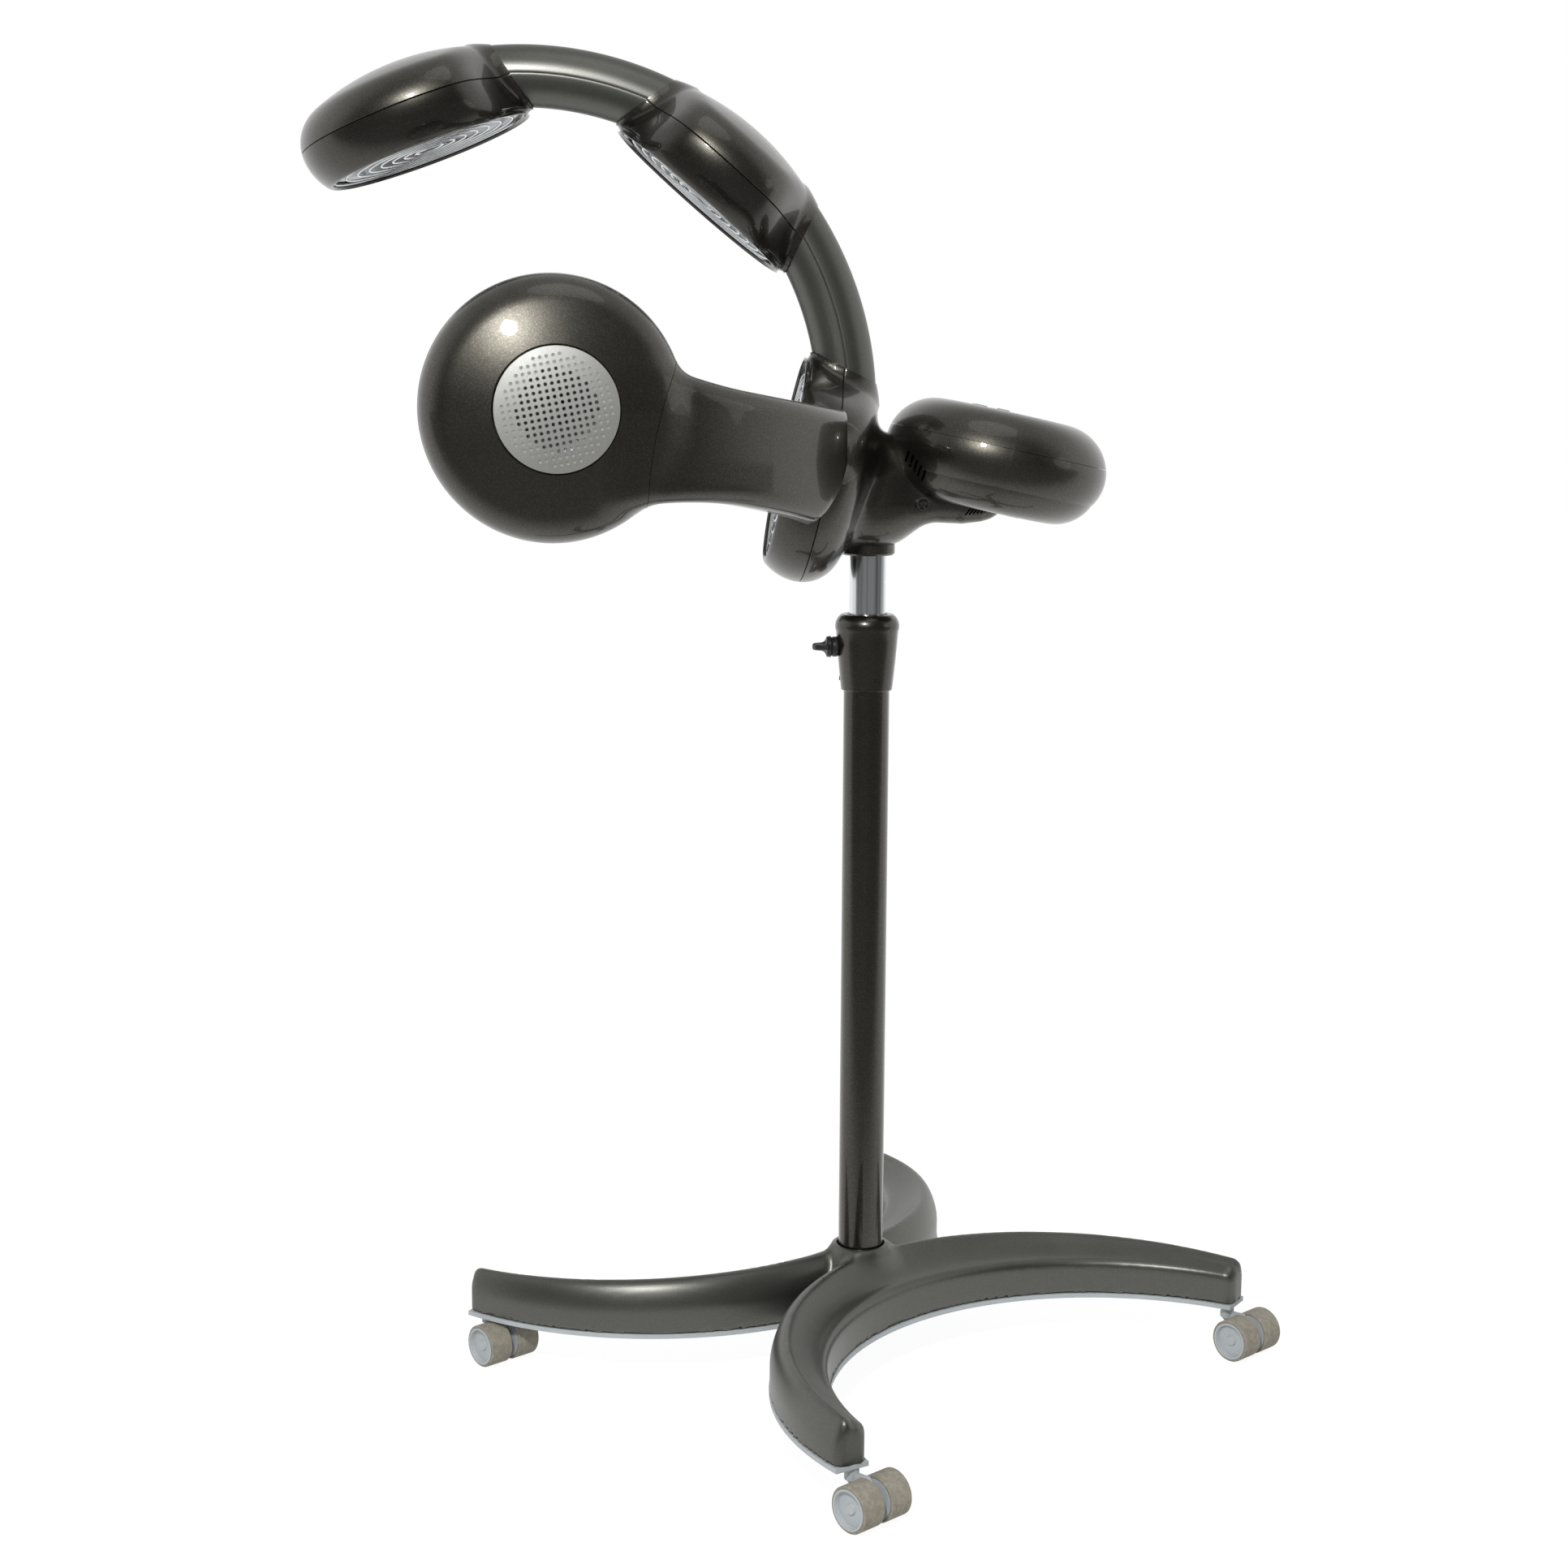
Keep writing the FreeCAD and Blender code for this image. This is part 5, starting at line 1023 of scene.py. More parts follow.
def crescent_field(turn_angle):
    """One crescent of the base: high outer crest, hollow flank and low inner shoulder."""
    sizes = stand()
    hub, tip, low = sizes.hub_width / MM, sizes.tip_width / MM, sizes.casting_bottom / MM
    reach = sizes.leg_reach / MM
    tip_u, tip_v = reach * math.cos(sizes.half_angle), reach * math.sin(sizes.half_angle)
    radius = ((tip_u - hub / 2) ** 2 + tip_v ** 2) / (2 * (tip_u - hub / 2))
    sweep = math.asin(tip_v / radius)
    c, s = math.cos(sizes.bisector + turn_angle), math.sin(sizes.bisector + turn_angle)

    def field(points):
        x, y, z = xyz(points)
        u, v = hub / 2 + radius - (x * c + y * s), -x * s + y * c
        rho, turn = np.hypot(u, v), np.arctan2(v, u)
        part = np.clip(np.abs(turn) / sweep, 0, 1)
        bulge = 1 - part ** 2
        width = tip + (hub - tip) * bulge
        ridge = sizes.tip_ridge / MM + (sizes.hub_ridge - sizes.tip_ridge) / MM * (1 - part ** 1.3)
        rise = ridge - low
        shoulder = low + rise * (0.90 - 0.24 * bulge)
        sag = 0.15 * bulge - 0.06
        t = np.clip((rho - radius) / width + 0.5, 0, 1)
        crest = 0.5 + 0.20 * bulge
        inner = shoulder + (BANK - t) * rise * 0.05
        hollow = ((crest + BANK) / 2 - sag * 0.4, (ridge + shoulder) / 2 - rise * sag)
        flank = parabola(t, (BANK, shoulder), hollow, (crest, ridge))
        turned_down, edge = ((place, low + rise * share_up) for place, share_up in (OUTER_TURN, OUTER_EDGE))
        outer = parabola(t, (crest, ridge), turned_down, edge)
        top = np.where(t < BANK, inner, np.where(t < crest, flank, outer))
        value = soft_common(z - top, np.abs(rho - radius) - width / 2, CREST_BLEND)
        value = soft_common(value, (np.abs(turn) - sweep) * rho - TIP_PLAY, TIP_BLEND)
        return np.maximum(value, low - z)

    return field


def base_field():
    """Two crescents back to back, with the saddle of the column."""
    one, two = crescent_field(0.0), crescent_field(math.pi)
    saddle = outline_field([(60.0, 0.0), (60.0, 46.0), (96.0, 45.0), (118.0, 35.5), (126.0, 33.0),
                            (128.0, 31.0), (128.0, 0.0)])
    bottom = stand().casting_bottom / MM

    def field(points):
        x, y, z = xyz(points)
        value = soft_union(one(points), two(points), MIDDLE_BLEND)
        value = soft_union(value, saddle(z, np.hypot(x, y)), SADDLE_BLEND)
        return np.maximum(value, bottom - z)

    return field


def build_base():
    """The cast base, with the shadow gap round the foot of the column."""
    casting = surface_net("base_crescents", base_field(), (-442, -442, 50), (442, 442, 136), 4.0)
    gap = turned("foot_gap", [(122.0, 0.0), (122.0, 27.2), (140.0, 27.2), (140.0, 0.0)], upright(), 72)
    boolean(casting, [gap])
    dressed(casting, "base", "Graphite paint", ["base_casting"], sharp=math.radians(45))


# ---------------- column fittings
KNOB_HEIGHT = 805.0
WING_MIDDLE, WING_LENGTH, WING_FLAT, WING_ROUND = 50.0, 5.5, 0.6, 2.4


def build_fittings():
    """Collar on the column and the wing knob that clamps the mast."""
    line = [(758.0, 25.3), (758.0, 27.2)] + arc((758.6, 27.9), (790.0, 31.2), (822.0, 33.9), 6)
    line += arc((822.0, 33.9), (835.0, 33.2), (840.6, 28.2), 10)[1:]
    line += [(841.0, 26.5), (840.2, 22.6), (836.0, 20.6), (800.0, 20.4), (800.0, 25.3)]
    collar = turned("collar_cone", line, upright(), 96, closed=True)
    dressed(collar, "base", "Column lacquer", ["column_collar"])

    stem = outline_field([(31.0, 0.0), (31.0, 9.0), (33.0, 11.0), (37.5, 11.0), (38.6, 9.6), (39.8, 11.6),
                          (43.6, 11.2)] + arc((44.4, 10.6), (46.6, 6.2), (52.0, 4.2), 6)
                         + [(58.6, 3.4), (59.4, 2.4), (59.4, 0.0)])

    def field(points):
        x, y, z = points[..., 0], -points[..., 1], points[..., 2] - KNOB_HEIGHT
        reach = 15.5 - 5.0 * np.clip((y - 44) / 12, 0, 1)
        a, b = np.abs(x) - (reach - WING_ROUND), np.abs(y - WING_MIDDLE) - WING_LENGTH
        d = np.abs(z) - WING_FLAT
        wing = np.sqrt(np.maximum(a, 0) ** 2 + np.maximum(b, 0) ** 2 + np.maximum(d, 0) ** 2) - WING_ROUND
        return soft_union(stem(y, np.hypot(x, z)), wing, 3.0)

    knob = surface_net("wing_knob", field, (-18, -62, 790), (18, -29, 820), 0.8)
    dressed(knob, "knob", "Black plastic", ["clamp_knob"])


# ---------------- finishes
def feed(tree, socket, value):
    """Link an output or a node's first output to a socket, or set the socket's value."""
    if isinstance(value, bpy.types.Node):
        value = value.outputs[0]
    if isinstance(value, bpy.types.NodeSocket):
        tree.links.new(value, socket)
    else:
        socket.default_value = value


def node(tree, kind, place=(0, 0), **values):
    """Add a node; a key such as in_Scale feeds an input, any other key sets a property."""
    made = tree.nodes.new(kind)
    made.location = place
    for key, value in values.items():
        if key.startswith("in_"):
            feed(tree, made.inputs[key[3:].replace("_", " ")], value)
        else:
            setattr(made, key, value)
    return made


def put_out(tree, end, **values):
    """Link what a tree has worked out to its outputs."""
    for key, value in values.items():
        feed(tree, end.inputs[key], value)
    return tree


def maths(tree, kind, a, b, clamp=False):
    """Work out two values or outputs in a Math node."""
    made = node(tree, "ShaderNodeMath", operation=kind, use_clamp=clamp)
    for socket, value in zip(made.inputs, (a, b)):
        feed(tree, socket, value)
    return made


def swing(tree, value, amount):
    """Turn a value about a half into one about nought, times an amount."""
    return maths(tree, "MULTIPLY", maths(tree, "SUBTRACT", value, 0.5), amount)


def blend_colour(tree, amount, a, b):
    """Mix two colours or outputs."""
    made = node(tree, "ShaderNodeMix", data_type="RGBA")
    for name, value in (("Factor", amount), ("A", a), ("B", b)):
        socket = next(i for i in made.inputs if i.name == name and i.enabled)
        feed(tree, socket, (*value, 1) if isinstance(value, tuple) else value)
    return next(o for o in made.outputs if o.enabled)


def stretch(tree, value, low, high):
    """Map a value between low and high to nought to one."""
    return node(tree, "ShaderNodeMapRange", interpolation_type="SMOOTHSTEP", in_Value=value,
                in_From_Min=low, in_From_Max=high)


def shared_tree(name, build):
    """A node tree by its name, built on first use."""
    return bpy.data.node_groups.get(name) or build(name)


def group(name, inputs, outputs, kind="ShaderNodeTree"):
    """A node tree with named sockets, its start and its end."""
    tree = bpy.data.node_groups.new(name, kind)
    for label, socket, value in inputs:
        made = tree.interface.new_socket(name=label, in_out="INPUT", socket_type=socket)
        if value is not None:
            made.default_value = value
    for label, socket in outputs:
        tree.interface.new_socket(name=label, in_out="OUTPUT", socket_type=socket)
    return tree, node(tree, "NodeGroupInput", (-900, 0)), node(tree, "NodeGroupOutput", (900, 0))


FLOAT, COLOUR = "NodeSocketFloat", "NodeSocketColor"


def paint_group(name):
    """Sprayed paint: slow mottling, fine orange peel and metal flakes."""
    tree, start, end = group(name, [
        ("Colour", COLOUR, (0.1, 0.1, 0.1, 1)), ("Flake Colour", COLOUR, (0.3, 0.3, 0.28, 1)),
        ("Flakes", FLOAT, 0.3), ("Flake Scale", FLOAT, 1400.0), ("Mottle", FLOAT, 0.15),
        ("Mottle Scale", FLOAT, 22.0), ("Peel Scale", FLOAT, 420.0), ("Roughness", FLOAT, 0.4),
        ("Spread", FLOAT, 0.08)],
        [("Colour", COLOUR), ("Roughness", FLOAT), ("Height", FLOAT)])
    given = start.outputs
    spot = node(tree, "ShaderNodeTexCoord").outputs["Object"]
    cloud = node(tree, "ShaderNodeTexNoise", in_Detail=3.0, in_Vector=spot, in_Scale=given["Mottle Scale"])
    peel = node(tree, "ShaderNodeTexNoise", in_Detail=1.0, in_Vector=spot, in_Scale=given["Peel Scale"])
    flakes = node(tree, "ShaderNodeTexVoronoi", in_Vector=spot, in_Scale=given["Flake Scale"])
    red = node(tree, "ShaderNodeSeparateColor", in_Color=flakes.outputs["Color"])
    glint = maths(tree, "MULTIPLY", stretch(tree, red, 0.55, 1.0), given["Flakes"])
    shade = maths(tree, "ADD", swing(tree, cloud, given["Mottle"]), 1.0)
    tone = node(tree, "ShaderNodeHueSaturation", in_Color=given["Colour"], in_Value=shade)
    return put_out(tree, end, Colour=blend_colour(tree, glint, tone, given["Flake Colour"]),
                   Roughness=maths(tree, "ADD", swing(tree, cloud, given["Spread"]), given["Roughness"]),
                   Height=maths(tree, "ADD", peel, maths(tree, "MULTIPLY", glint, 0.6)))


def grime_group(name):
    """Dust that settles on upward faces and thins out in patches."""
    tree, start, end = group(name, [
        ("Colour", COLOUR, (0.1, 0.1, 0.1, 1)), ("Roughness", FLOAT, 0.4),
        ("Dust Colour", COLOUR, (0.4, 0.38, 0.34, 1)), ("Amount", FLOAT, 0.1), ("Patch Scale", FLOAT, 30.0)],
        [("Colour", COLOUR), ("Roughness", FLOAT)])
    given = start.outputs
    spot = node(tree, "ShaderNodeTexCoord").outputs["Object"]
    patches = node(tree, "ShaderNodeTexNoise", in_Detail=5.0, in_Roughness=0.65, in_Vector=spot,
                   in_Scale=given["Patch Scale"])
    normal = node(tree, "ShaderNodeNewGeometry").outputs["Normal"]
    upward = node(tree, "ShaderNodeSeparateXYZ", in_Vector=normal).outputs["Z"]
    mask = maths(tree, "MULTIPLY", stretch(tree, upward, -0.2, 1.0), stretch(tree, patches, 0.35, 0.75))
    mask = maths(tree, "MULTIPLY", mask, given["Amount"], True)
    duller = maths(tree, "MULTIPLY", mask, 0.4)
    return put_out(tree, end, Colour=blend_colour(tree, mask, given["Colour"], given["Dust Colour"]),
                   Roughness=maths(tree, "ADD", given["Roughness"], duller, True))


def speckle_group(name):
    """Two colours in blotches with fine specks, for rubber and bare plastic."""
    tree, start, end = group(name, [
        ("Colour", COLOUR, (0.3, 0.3, 0.3, 1)), ("Second Colour", COLOUR, (0.2, 0.2, 0.2, 1)),
        ("Blotch Scale", FLOAT, 120.0), ("Speck Scale", FLOAT, 900.0), ("Amount", FLOAT, 0.5),
        ("Roughness", FLOAT, 0.6), ("Spread", FLOAT, 0.2)],
        [("Colour", COLOUR), ("Roughness", FLOAT), ("Height", FLOAT)])
    given = start.outputs
    spot = node(tree, "ShaderNodeTexCoord").outputs["Object"]
    blotch = node(tree, "ShaderNodeTexNoise", in_Detail=6.0, in_Roughness=0.6, in_Distortion=0.4,
                  in_Vector=spot, in_Scale=given["Blotch Scale"])
    speck = node(tree, "ShaderNodeTexNoise", in_Detail=2.0, in_Vector=spot, in_Scale=given["Speck Scale"])
    mask = maths(tree, "ADD", maths(tree, "MULTIPLY", stretch(tree, blotch, 0.38, 0.62), 0.7),
                 maths(tree, "MULTIPLY", stretch(tree, speck, 0.4, 0.65), 0.3))
    mask = maths(tree, "MULTIPLY", mask, given["Amount"], True)
    return put_out(tree, end, Colour=blend_colour(tree, mask, given["Colour"], given["Second Colour"]),
                   Roughness=maths(tree, "ADD", swing(tree, blotch, given["Spread"]), given["Roughness"]),
                   Height=maths(tree, "ADD", speck, blotch))


def shader_base(name, values):
    """A fresh material with its Principled shader."""
    made = bpy.data.materials.new(name)
    made.use_nodes = True
    tree = made.node_tree
    shader = tree.nodes["Principled BSDF"]
    for key, value in values.items():
        feed(tree, shader.inputs[key], value)
    return made, tree, shader


def layered(name, body_tree, body_values, dust, bump, values):
    """A finish whose group gives colour, roughness and height, under a little settled dust."""
    made, tree, shader = shader_base(name, values)
    body = node(tree, "ShaderNodeGroup", node_tree=body_tree)
    for key, value in body_values.items():
        feed(tree, body.inputs[key], value)
    grime = node(tree, "ShaderNodeGroup", node_tree=shared_tree("Settled dust", grime_group), in_Amount=dust,
                 in_Colour=body.outputs["Colour"], in_Roughness=body.outputs["Roughness"])
    height = body.outputs["Height"]
    relief = node(tree, "ShaderNodeBump", in_Distance=bump, in_Strength=1.0, in_Height=height)
    feed(tree, shader.inputs["Base Color"], grime.outputs["Colour"])
    feed(tree, shader.inputs["Roughness"], grime.outputs["Roughness"])
    feed(tree, shader.inputs["Normal"], relief)
    return made


def painted(name, base, flake, rough, spread=0.06, flakes=0.35, mottle=0.18, dust=0.05, bump=0.00001,
            peel=420.0, **values):
    """A sprayed finish with flakes and a little dust."""
    spray = {"Colour": (*base, 1), "Flake Colour": (*flake, 1), "Flakes": flakes, "Roughness": rough,
             "Spread": spread, "Mottle": mottle, "Peel Scale": peel}
    return layered(name, shared_tree("Sprayed paint", paint_group), spray, dust, bump, values)


def speckled(name, base, second, rough, spread, blotch, speck, amount, bump, dust=0.0, **values):
    """A moulded or bare finish with blotches and specks."""
    body = {"Colour": (*base, 1), "Second Colour": (*second, 1), "Blotch Scale": blotch,
            "Speck Scale": speck, "Amount": amount, "Roughness": rough, "Spread": spread}
    return layered(name, shared_tree("Speckle", speckle_group), body, dust, bump, values)


def reflection_streaked_metal(name, dark, bright, rough, **values):
    """Bright tube with painted reflections: soft dark and light streaks along its length in the base colour.
    """
    made, tree, shader = shader_base(name, values)
    spot = node(tree, "ShaderNodeTexCoord").outputs["Object"]
    lengthwise = node(tree, "ShaderNodeMapping", in_Vector=spot, in_Scale=(1.0, 1.0, 0.006))
    reflection_streak = node(tree, "ShaderNodeTexNoise", in_Vector=lengthwise, in_Scale=120.0, in_Detail=2.0,
                  in_Roughness=0.45)
    band = stretch(tree, reflection_streak, 0.38, 0.62)
    # painted reflection: these streaks darken and lighten the base colour in place of reflected surroundings
    feed(tree, shader.inputs["Base Color"], blend_colour(tree, band, dark, bright))
    feed(tree, shader.inputs["Roughness"], maths(tree, "ADD", rough, maths(tree, "MULTIPLY", band, 0.06)))
    return made


def scaled(value, factor):
    return tuple(min(1.0, v * factor) for v in value)


def recipes():
    """For each finish its maker, the maker's values and what else the shader gets.

    A speckled finish has two colours, roughness and its spread, blotch and speck scales, amount and bump.
    """
    own = finishes()
    lacquer, satin, column, silver = (tuple(c) for c in (own.lacquer, own.satin, own.column, own.silver))
    chrome, trim, tread, black = (tuple(c) for c in (own.chrome, own.trim, own.tread, own.black))
    coated = {"Metallic": 0.97, "Coat Weight": 0.6, "Coat Roughness": 0.03, "Coat IOR": 1.5}
    metal = {"Metallic": 1.0}
    return {
        "Bronze lacquer": (painted, (lacquer, scaled(lacquer, 3.0), 0.37), coated),
        "Ring lacquer": (painted, (scaled(lacquer, 0.72), scaled(lacquer, 2.2), 0.34), coated),
        "Column lacquer": (painted, (column, scaled(column, 3.0), 0.30), coated),
        "Graphite paint": (painted, (satin, scaled(satin, 1.9), 0.38), {
            "spread": 0.05, "flakes": 0.22, "mottle": 0.07, "dust": 0.03, "bump": 0.000005, "peel": 650.0,
            "Metallic": 0.92}),
        "Drilled silver": (painted, (silver, scaled(silver, 1.5), 0.42), {
            "flakes": 0.25, "mottle": 0.06, "dust": 0.03, "bump": 0.00002, "peel": 1100.0, "Metallic": 0.9}),
        # the mast's chrome carries painted reflection streaks in its base colour
        "Chrome": (reflection_streaked_metal, (scaled(chrome, 0.30), scaled(chrome, 1.5), 0.12), metal),
        "Grille chrome": (speckled, (scaled(chrome, 1.1), scaled(chrome, 0.7), 0.14, 0.08, 40.0, 500.0, 0.4,
                                     0.000004), metal),
        "Bright dish": (speckled, (scaled(chrome, 1.2), scaled(chrome, 0.9), 0.30, 0.1, 30.0, 420.0, 0.5,
                                   0.00001), metal),
        "Quartz heater": (speckled, ((0.62, 0.60, 0.56), (0.45, 0.38, 0.32), 0.35, 0.1, 90.0, 900.0, 0.4,
                                     0.00002), {"Metallic": 0.0}),
        "Black oxide": (speckled, ((0.05, 0.05, 0.05), (0.09, 0.09, 0.09), 0.34, 0.12, 220.0, 1400.0, 0.5,
                                   0.00001), {"Metallic": 0.9}),
        "Cast inner frame": (speckled, ((0.30, 0.30, 0.30), (0.20, 0.20, 0.20), 0.6, 0.15, 160.0, 1100.0,
                                        0.6, 0.00005), {"Metallic": 0.6}),
        "Guide plastic": (speckled, ((0.10, 0.10, 0.10), (0.06, 0.06, 0.06), 0.45, 0.1, 90.0, 1200.0, 0.5,
                                     0.00001), {}),
        "Black plastic": (speckled, (black, scaled(black, 1.8), 0.38, 0.12, 160.0, 1500.0, 0.5, 0.00001),
                          {"dust": 0.1}),
        "Pale plastic": (speckled, (trim, scaled(trim, 0.86), 0.46, 0.12, 60.0, 1300.0, 0.45, 0.00001),
                         {"dust": 0.25}),
        "Worn tread": (speckled, (tread, scaled(tread, 0.62), 0.78, 0.15, 170.0, 900.0, 0.8, 0.00012),
                       {"dust": 0.35}),
        "Panel face": (speckled, ((0.055, 0.056, 0.058), (0.04, 0.041, 0.043), 0.48, 0.1, 80.0, 1600.0, 0.5,
                                  0.00001), {}),
        "Smoked window": (speckled, ((0.010, 0.004, 0.004), (0.016, 0.007, 0.006), 0.08, 0.04, 20.0, 300.0,
                                     0.4, 0.000002), {"Coat Weight": 0.8}),
        "Button plastic": (speckled, ((0.30, 0.31, 0.32), (0.25, 0.26, 0.27), 0.5, 0.1, 140.0, 1500.0, 0.5,
                                      0.00001), {}),
        "Circuit board": (speckled, ((0.020, 0.10, 0.045), (0.06, 0.16, 0.08), 0.42, 0.1, 420.0, 1600.0, 0.6,
                                     0.00003), {}),
    }


def finish(name):
    """A material by its name, made on first use."""
    if name in bpy.data.materials:
        return bpy.data.materials[name]
    maker, values, options = recipes()[name]
    return maker(name, *values, **options)


CAD_FINISHES = {
    "casting_paint": "Graphite paint", "trim_plate": "Pale plastic", "shell_lacquer": "Bronze lacquer",
    "tube_paint": "Graphite paint", "column_lacquer": "Column lacquer", "mast_chrome": "Chrome",
    "steel": "Black oxide", "guide_plastic": "Guide plastic", "knob_plastic": "Black plastic",
    "caster_plastic": "Pale plastic", "tread": "Worn tread", "bezel_lacquer": "Ring lacquer",
    "grille_wire": "Grille chrome", "reflector_metal": "Bright dish", "heater": "Quartz heater",
    "vent_metal": "Drilled silver", "inner_frame": "Cast inner frame", "inlet_plastic": "Black plastic",
    "panel_face": "Panel face", "window": "Smoked window", "button_face": "Button plastic",
    "board": "Circuit board", "rocker": "Black plastic",
}


def dress_frame():
    """Give every CAD node its finish by its material slot."""
    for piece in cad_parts.values():
        for place in piece.material_slots:
            place.material = finish(CAD_FINISHES[place.material.name.split(".")[0]])


# ---------------- stage
FLOOR_HALF = 30
WHITE, FLOOR_SHOWN = 1.09, 0.86
SIDE_SHARE = 0.35
CAMERA_SPOT = (2.7117, -0.2413, 1.0920)
YAW, PITCH, ROLL = (math.radians(a) for a in (3.20, 9.17, 0.33))
SENSOR, FOCAL_PIXELS, PICTURE_PIXELS = 36.0, 3089.3, 1932


def build_floor(settings):
    """Floor that shows white to the camera and in gloss, and darker in gloss on the near side."""
    corners = [(x * FLOOR_HALF, y * FLOOR_HALF, 0) for x, y in ((-1, -1), (1, -1), (1, 1), (-1, 1))]
    mesh = mesh_from("studio_floor", corners, [(0, 1, 2, 3)])
    made, tree, shader = shader_base("Studio floor", {"Roughness": 0.85})
    spot = node(tree, "ShaderNodeTexCoord").outputs["Object"]
    speck = node(tree, "ShaderNodeTexNoise", in_Scale=3.0, in_Detail=4.0, in_Vector=spot)
    pale = tuple(settings.floor)
    feed(tree, shader.inputs["Base Color"], blend_colour(tree, speck, scaled(pale, 0.985), pale))
    ray = node(tree, "ShaderNodeLightPath").outputs
    seen = maths(tree, "ADD", ray["Is Camera Ray"], ray["Is Glossy Ray"], True)
    seen = maths(tree, "ADD", seen, ray["Is Transmission Ray"], True)
    near = stretch(tree, node(tree, "ShaderNodeSeparateXYZ", in_Vector=spot).outputs["X"], 0.1, 1.2)
    near = maths(tree, "MULTIPLY", near, ray["Is Glossy Ray"])
    lit = maths(tree, "SUBTRACT", WHITE, maths(tree, "MULTIPLY", near, 1.05 - settings.near_side))
    glow = node(tree, "ShaderNodeEmission", in_Color=(1, 1, 1, 1), in_Strength=lit)
    mix = node(tree, "ShaderNodeMixShader")
    for socket, value in zip(mix.inputs, (maths(tree, "MULTIPLY", seen, FLOOR_SHOWN), shader, glow)):
        feed(tree, socket, value)
    feed(tree, tree.nodes["Material Output"].inputs["Surface"], mix)
    mesh.materials.append(made)
    new_piece("studio_floor", mesh)


def build_world(settings):
    """Even surroundings that gloss sees as a white backdrop, dim behind the camera and overhead."""
    world = bpy.data.worlds.new("Studio")
    world.use_nodes = True
    tree = world.node_tree
    soft = tree.nodes["Background"]
    soft.inputs["Color"].default_value = (1, 1, 1, 1)
    ray = node(tree, "ShaderNodeLightPath").outputs
    plain = maths(tree, "ADD", ray["Is Camera Ray"], ray["Is Transmission Ray"], True)
    spot = node(tree, "ShaderNodeTexCoord").outputs["Generated"]
    towards = node(tree, "ShaderNodeSeparateXYZ", in_Vector=spot).outputs
    backdrop = stretch(tree, maths(tree, "MULTIPLY", towards["X"], -1.0), -0.62, 0.05)
    overhead = maths(tree, "MULTIPLY", stretch(tree, towards["Z"], 0.30, 0.95), settings.ceiling)
    backdrop = maths(tree, "MULTIPLY", backdrop, maths(tree, "SUBTRACT", 1.0, overhead))
    near_side, sky = settings.near_side, settings.sky
    mirrored = maths(tree, "ADD", maths(tree, "MULTIPLY", backdrop, 1 - near_side), near_side)
    level = maths(tree, "ADD", maths(tree, "MULTIPLY", plain, 1 - sky), sky)
    extra = maths(tree, "SUBTRACT", mirrored, sky)
    extra = maths(tree, "MULTIPLY", extra, ray["Is Glossy Ray"])
    feed(tree, soft.inputs["Strength"], maths(tree, "ADD", level, extra))
    bpy.context.scene.world = world


def place_light(name, centre, towards, distance, size, power):
    """A round lamp that shines on a point from a direction."""
    data = bpy.data.lights.new(name, "AREA")
    data.shape = "DISK"
    data.size = size
    data.energy = power
    light = new_piece(name, data)
    away = Vector(towards).normalized()
    light.location = centre + away * distance
    light.rotation_euler = (-away).to_track_quat("-Z", "Y").to_euler()


def build_stage():
    """Floor, surroundings, three lamps and the camera."""
    scene = bpy.context.scene
    settings = scene.processor_stage
    build_floor(settings)
    build_world(settings)
    low, high = CAD_BOX
    middle, head = (Vector(low) + Vector(high)) / 2, Vector(head_point()) * MM
    place_light("key_light", head, (0.853, -0.125, 0.508), distance=3.3, size=0.34, power=settings.key)
    place_light("top_light", middle, (0.25, 0.10, 1.0), distance=3.0, size=1.8, power=settings.fill)
    place_light("side_light", middle, (0.35, 0.90, 0.25), distance=3.4, size=1.2,
                power=settings.fill * SIDE_SHARE)
    place_camera(scene)
    scene.view_settings.view_transform = "Standard"


def place_camera(scene):
    """Camera beside the object, a little above it, looking down."""
    flat = math.cos(PITCH)
    forward = Vector((-math.cos(YAW) * flat, math.sin(YAW) * flat, -math.sin(PITCH)))
    right = forward.cross(Vector((0, 0, 1))).normalized()
    up = right.cross(forward)
    across = right * math.cos(ROLL) + up * math.sin(ROLL)
    above = up * math.cos(ROLL) - right * math.sin(ROLL)
    data = bpy.data.cameras.new("camera")
    data.sensor_width = SENSOR
    data.lens = FOCAL_PIXELS / PICTURE_PIXELS * SENSOR
    data.clip_end = 100
    scene.camera = new_piece("camera", data)
    rows = ((across[k], above[k], -forward[k], CAMERA_SPOT[k]) for k in range(3))
    scene.camera.matrix_world = Matrix((*rows, (0, 0, 0, 1)))


# ---------------- add-on
class PROCESSOR_OT_frame(bpy.types.Operator):
    """Give the machined and moulded frame its finishes"""
    bl_idname = "processor.frame"
    bl_label = "Dress the frame"

    def execute(self, context):
        dress_frame()
        return {"FINISHED"}


class PROCESSOR_OT_arch_lamps(bpy.types.Operator):
    """Build the domes and front rings of the arch lamps"""
    bl_idname = "processor.arch_lamps"
    bl_label = "Build the arch lamps"

    def execute(self, context):
        build_arch_lamps()
        return {"FINISHED"}


class PROCESSOR_OT_arch_tubes(bpy.types.Operator):
    """Build the bent tubes between the arch lamps"""
    bl_idname = "processor.arch_tubes"
    bl_label = "Build the arch tubes"

    def execute(self, context):
        build_arch_tubes()
        return {"FINISHED"}


class PROCESSOR_OT_openings(bpy.types.Operator):
    """Build the wire grilles and the reflector dishes"""
    bl_idname = "processor.openings"
    bl_label = "Build the grilles and dishes"

    def execute(self, context):
        build_openings()
        return {"FINISHED"}


class PROCESSOR_OT_side_lamps(bpy.types.Operator):
    """Build the domes and front rings of the side lamps"""
    bl_idname = "processor.side_lamps"
    bl_label = "Build the side lamps"

    def execute(self, context):
        build_side_lamps()
        return {"FINISHED"}


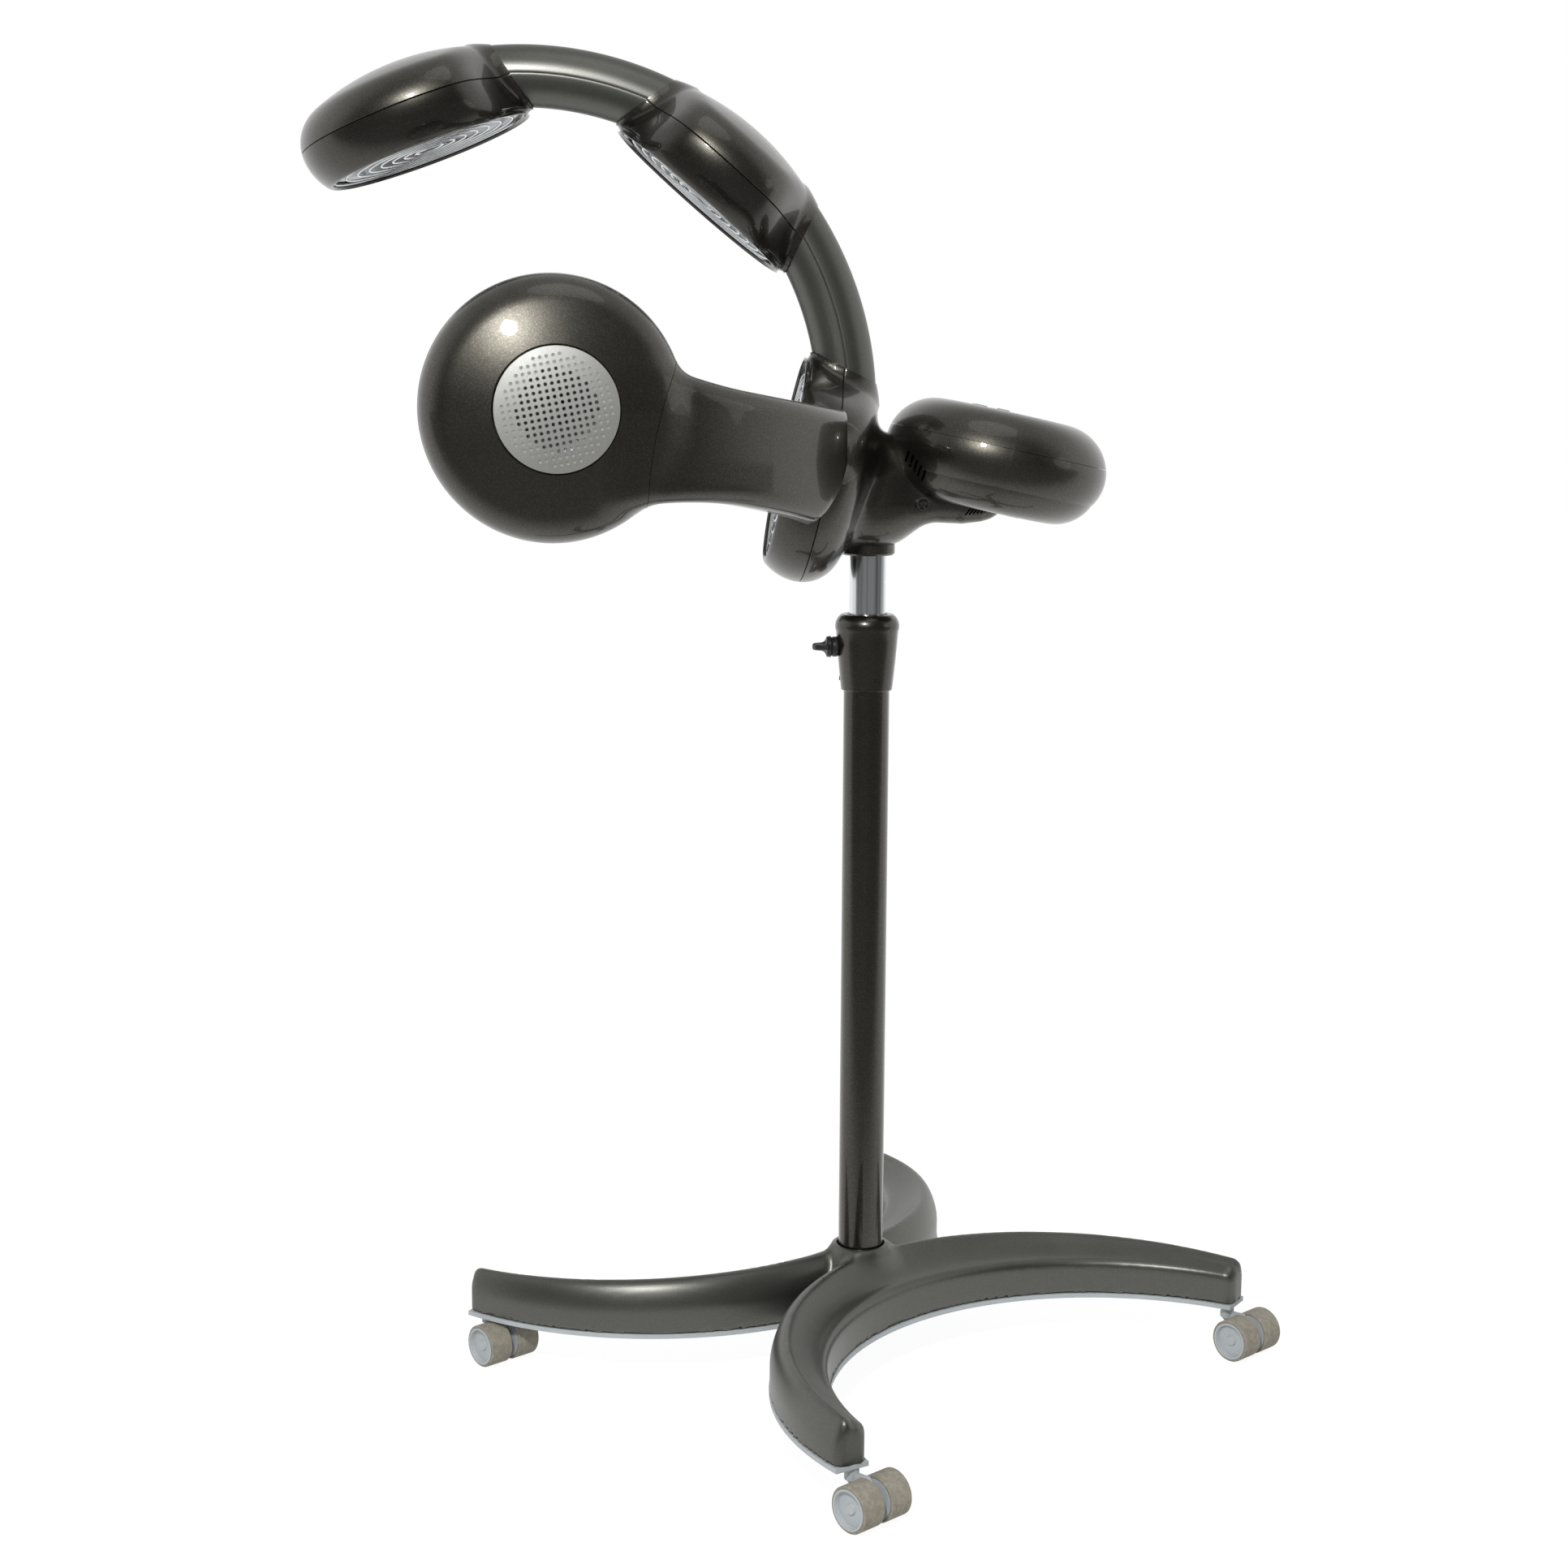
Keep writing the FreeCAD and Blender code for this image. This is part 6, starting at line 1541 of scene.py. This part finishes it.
class PROCESSOR_OT_arms(bpy.types.Operator):
    """Build the two side arms with their hinge knuckles"""
    bl_idname = "processor.arms"
    bl_label = "Build the side arms"

    def execute(self, context):
        build_arms()
        return {"FINISHED"}


class PROCESSOR_OT_hub(bpy.types.Operator):
    """Build the bowl and neck that carry the head"""
    bl_idname = "processor.hub"
    bl_label = "Build the hub"

    def execute(self, context):
        build_hub()
        return {"FINISHED"}


class PROCESSOR_OT_base(bpy.types.Operator):
    """Build the cast base"""
    bl_idname = "processor.base"
    bl_label = "Build the base"

    def execute(self, context):
        build_base()
        return {"FINISHED"}


class PROCESSOR_OT_fittings(bpy.types.Operator):
    """Build the column's collar and its clamp knob"""
    bl_idname = "processor.fittings"
    bl_label = "Build the column fittings"

    def execute(self, context):
        build_fittings()
        return {"FINISHED"}


class PROCESSOR_OT_stage(bpy.types.Operator):
    """Build the floor, the lights and the camera"""
    bl_idname = "processor.stage"
    bl_label = "Build the stage"

    def execute(self, context):
        build_stage()
        return {"FINISHED"}


OPERATORS = (PROCESSOR_OT_frame, PROCESSOR_OT_arch_lamps, PROCESSOR_OT_arch_tubes, PROCESSOR_OT_openings,
             PROCESSOR_OT_side_lamps, PROCESSOR_OT_arms, PROCESSOR_OT_hub, PROCESSOR_OT_base,
             PROCESSOR_OT_fittings, PROCESSOR_OT_stage)
STEPS = [operator.bl_idname.split(".")[1] for operator in OPERATORS]
GROUPS = (LampSizes, StandSizes, Finishes, StageSettings)
POINTERS = {"processor_lamps": LampSizes, "processor_stand": StandSizes, "processor_finishes": Finishes,
            "processor_stage": StageSettings}


class PROCESSOR_PT_panel(bpy.types.Panel):
    """Sizes, colours and steps of the hair colour processor"""
    bl_label = "Hair colour processor"
    bl_space_type = "VIEW_3D"
    bl_region_type = "UI"
    bl_category = "Processor"

    def draw(self, context):
        for pointer in POINTERS:
            box = self.layout.box()
            settings = getattr(context.scene, pointer)
            for name in settings.bl_rna.properties.keys():
                if name not in {"rna_type", "name"}:
                    box.prop(settings, name)
        for operator in OPERATORS:
            self.layout.operator(operator.bl_idname)


def register():
    for item in (*GROUPS, *OPERATORS, PROCESSOR_PT_panel):
        bpy.utils.register_class(item)
    for name, kind in POINTERS.items():
        setattr(bpy.types.Scene, name, PointerProperty(type=kind))


def unregister():
    for name in POINTERS:
        delattr(bpy.types.Scene, name)
    for item in reversed((*GROUPS, *OPERATORS, PROCESSOR_PT_panel)):
        bpy.utils.unregister_class(item)


# ---------------- main
def main():
    register()
    for step in STEPS:
        getattr(bpy.ops.processor, step)()


if __name__ == "__main__":
    main()
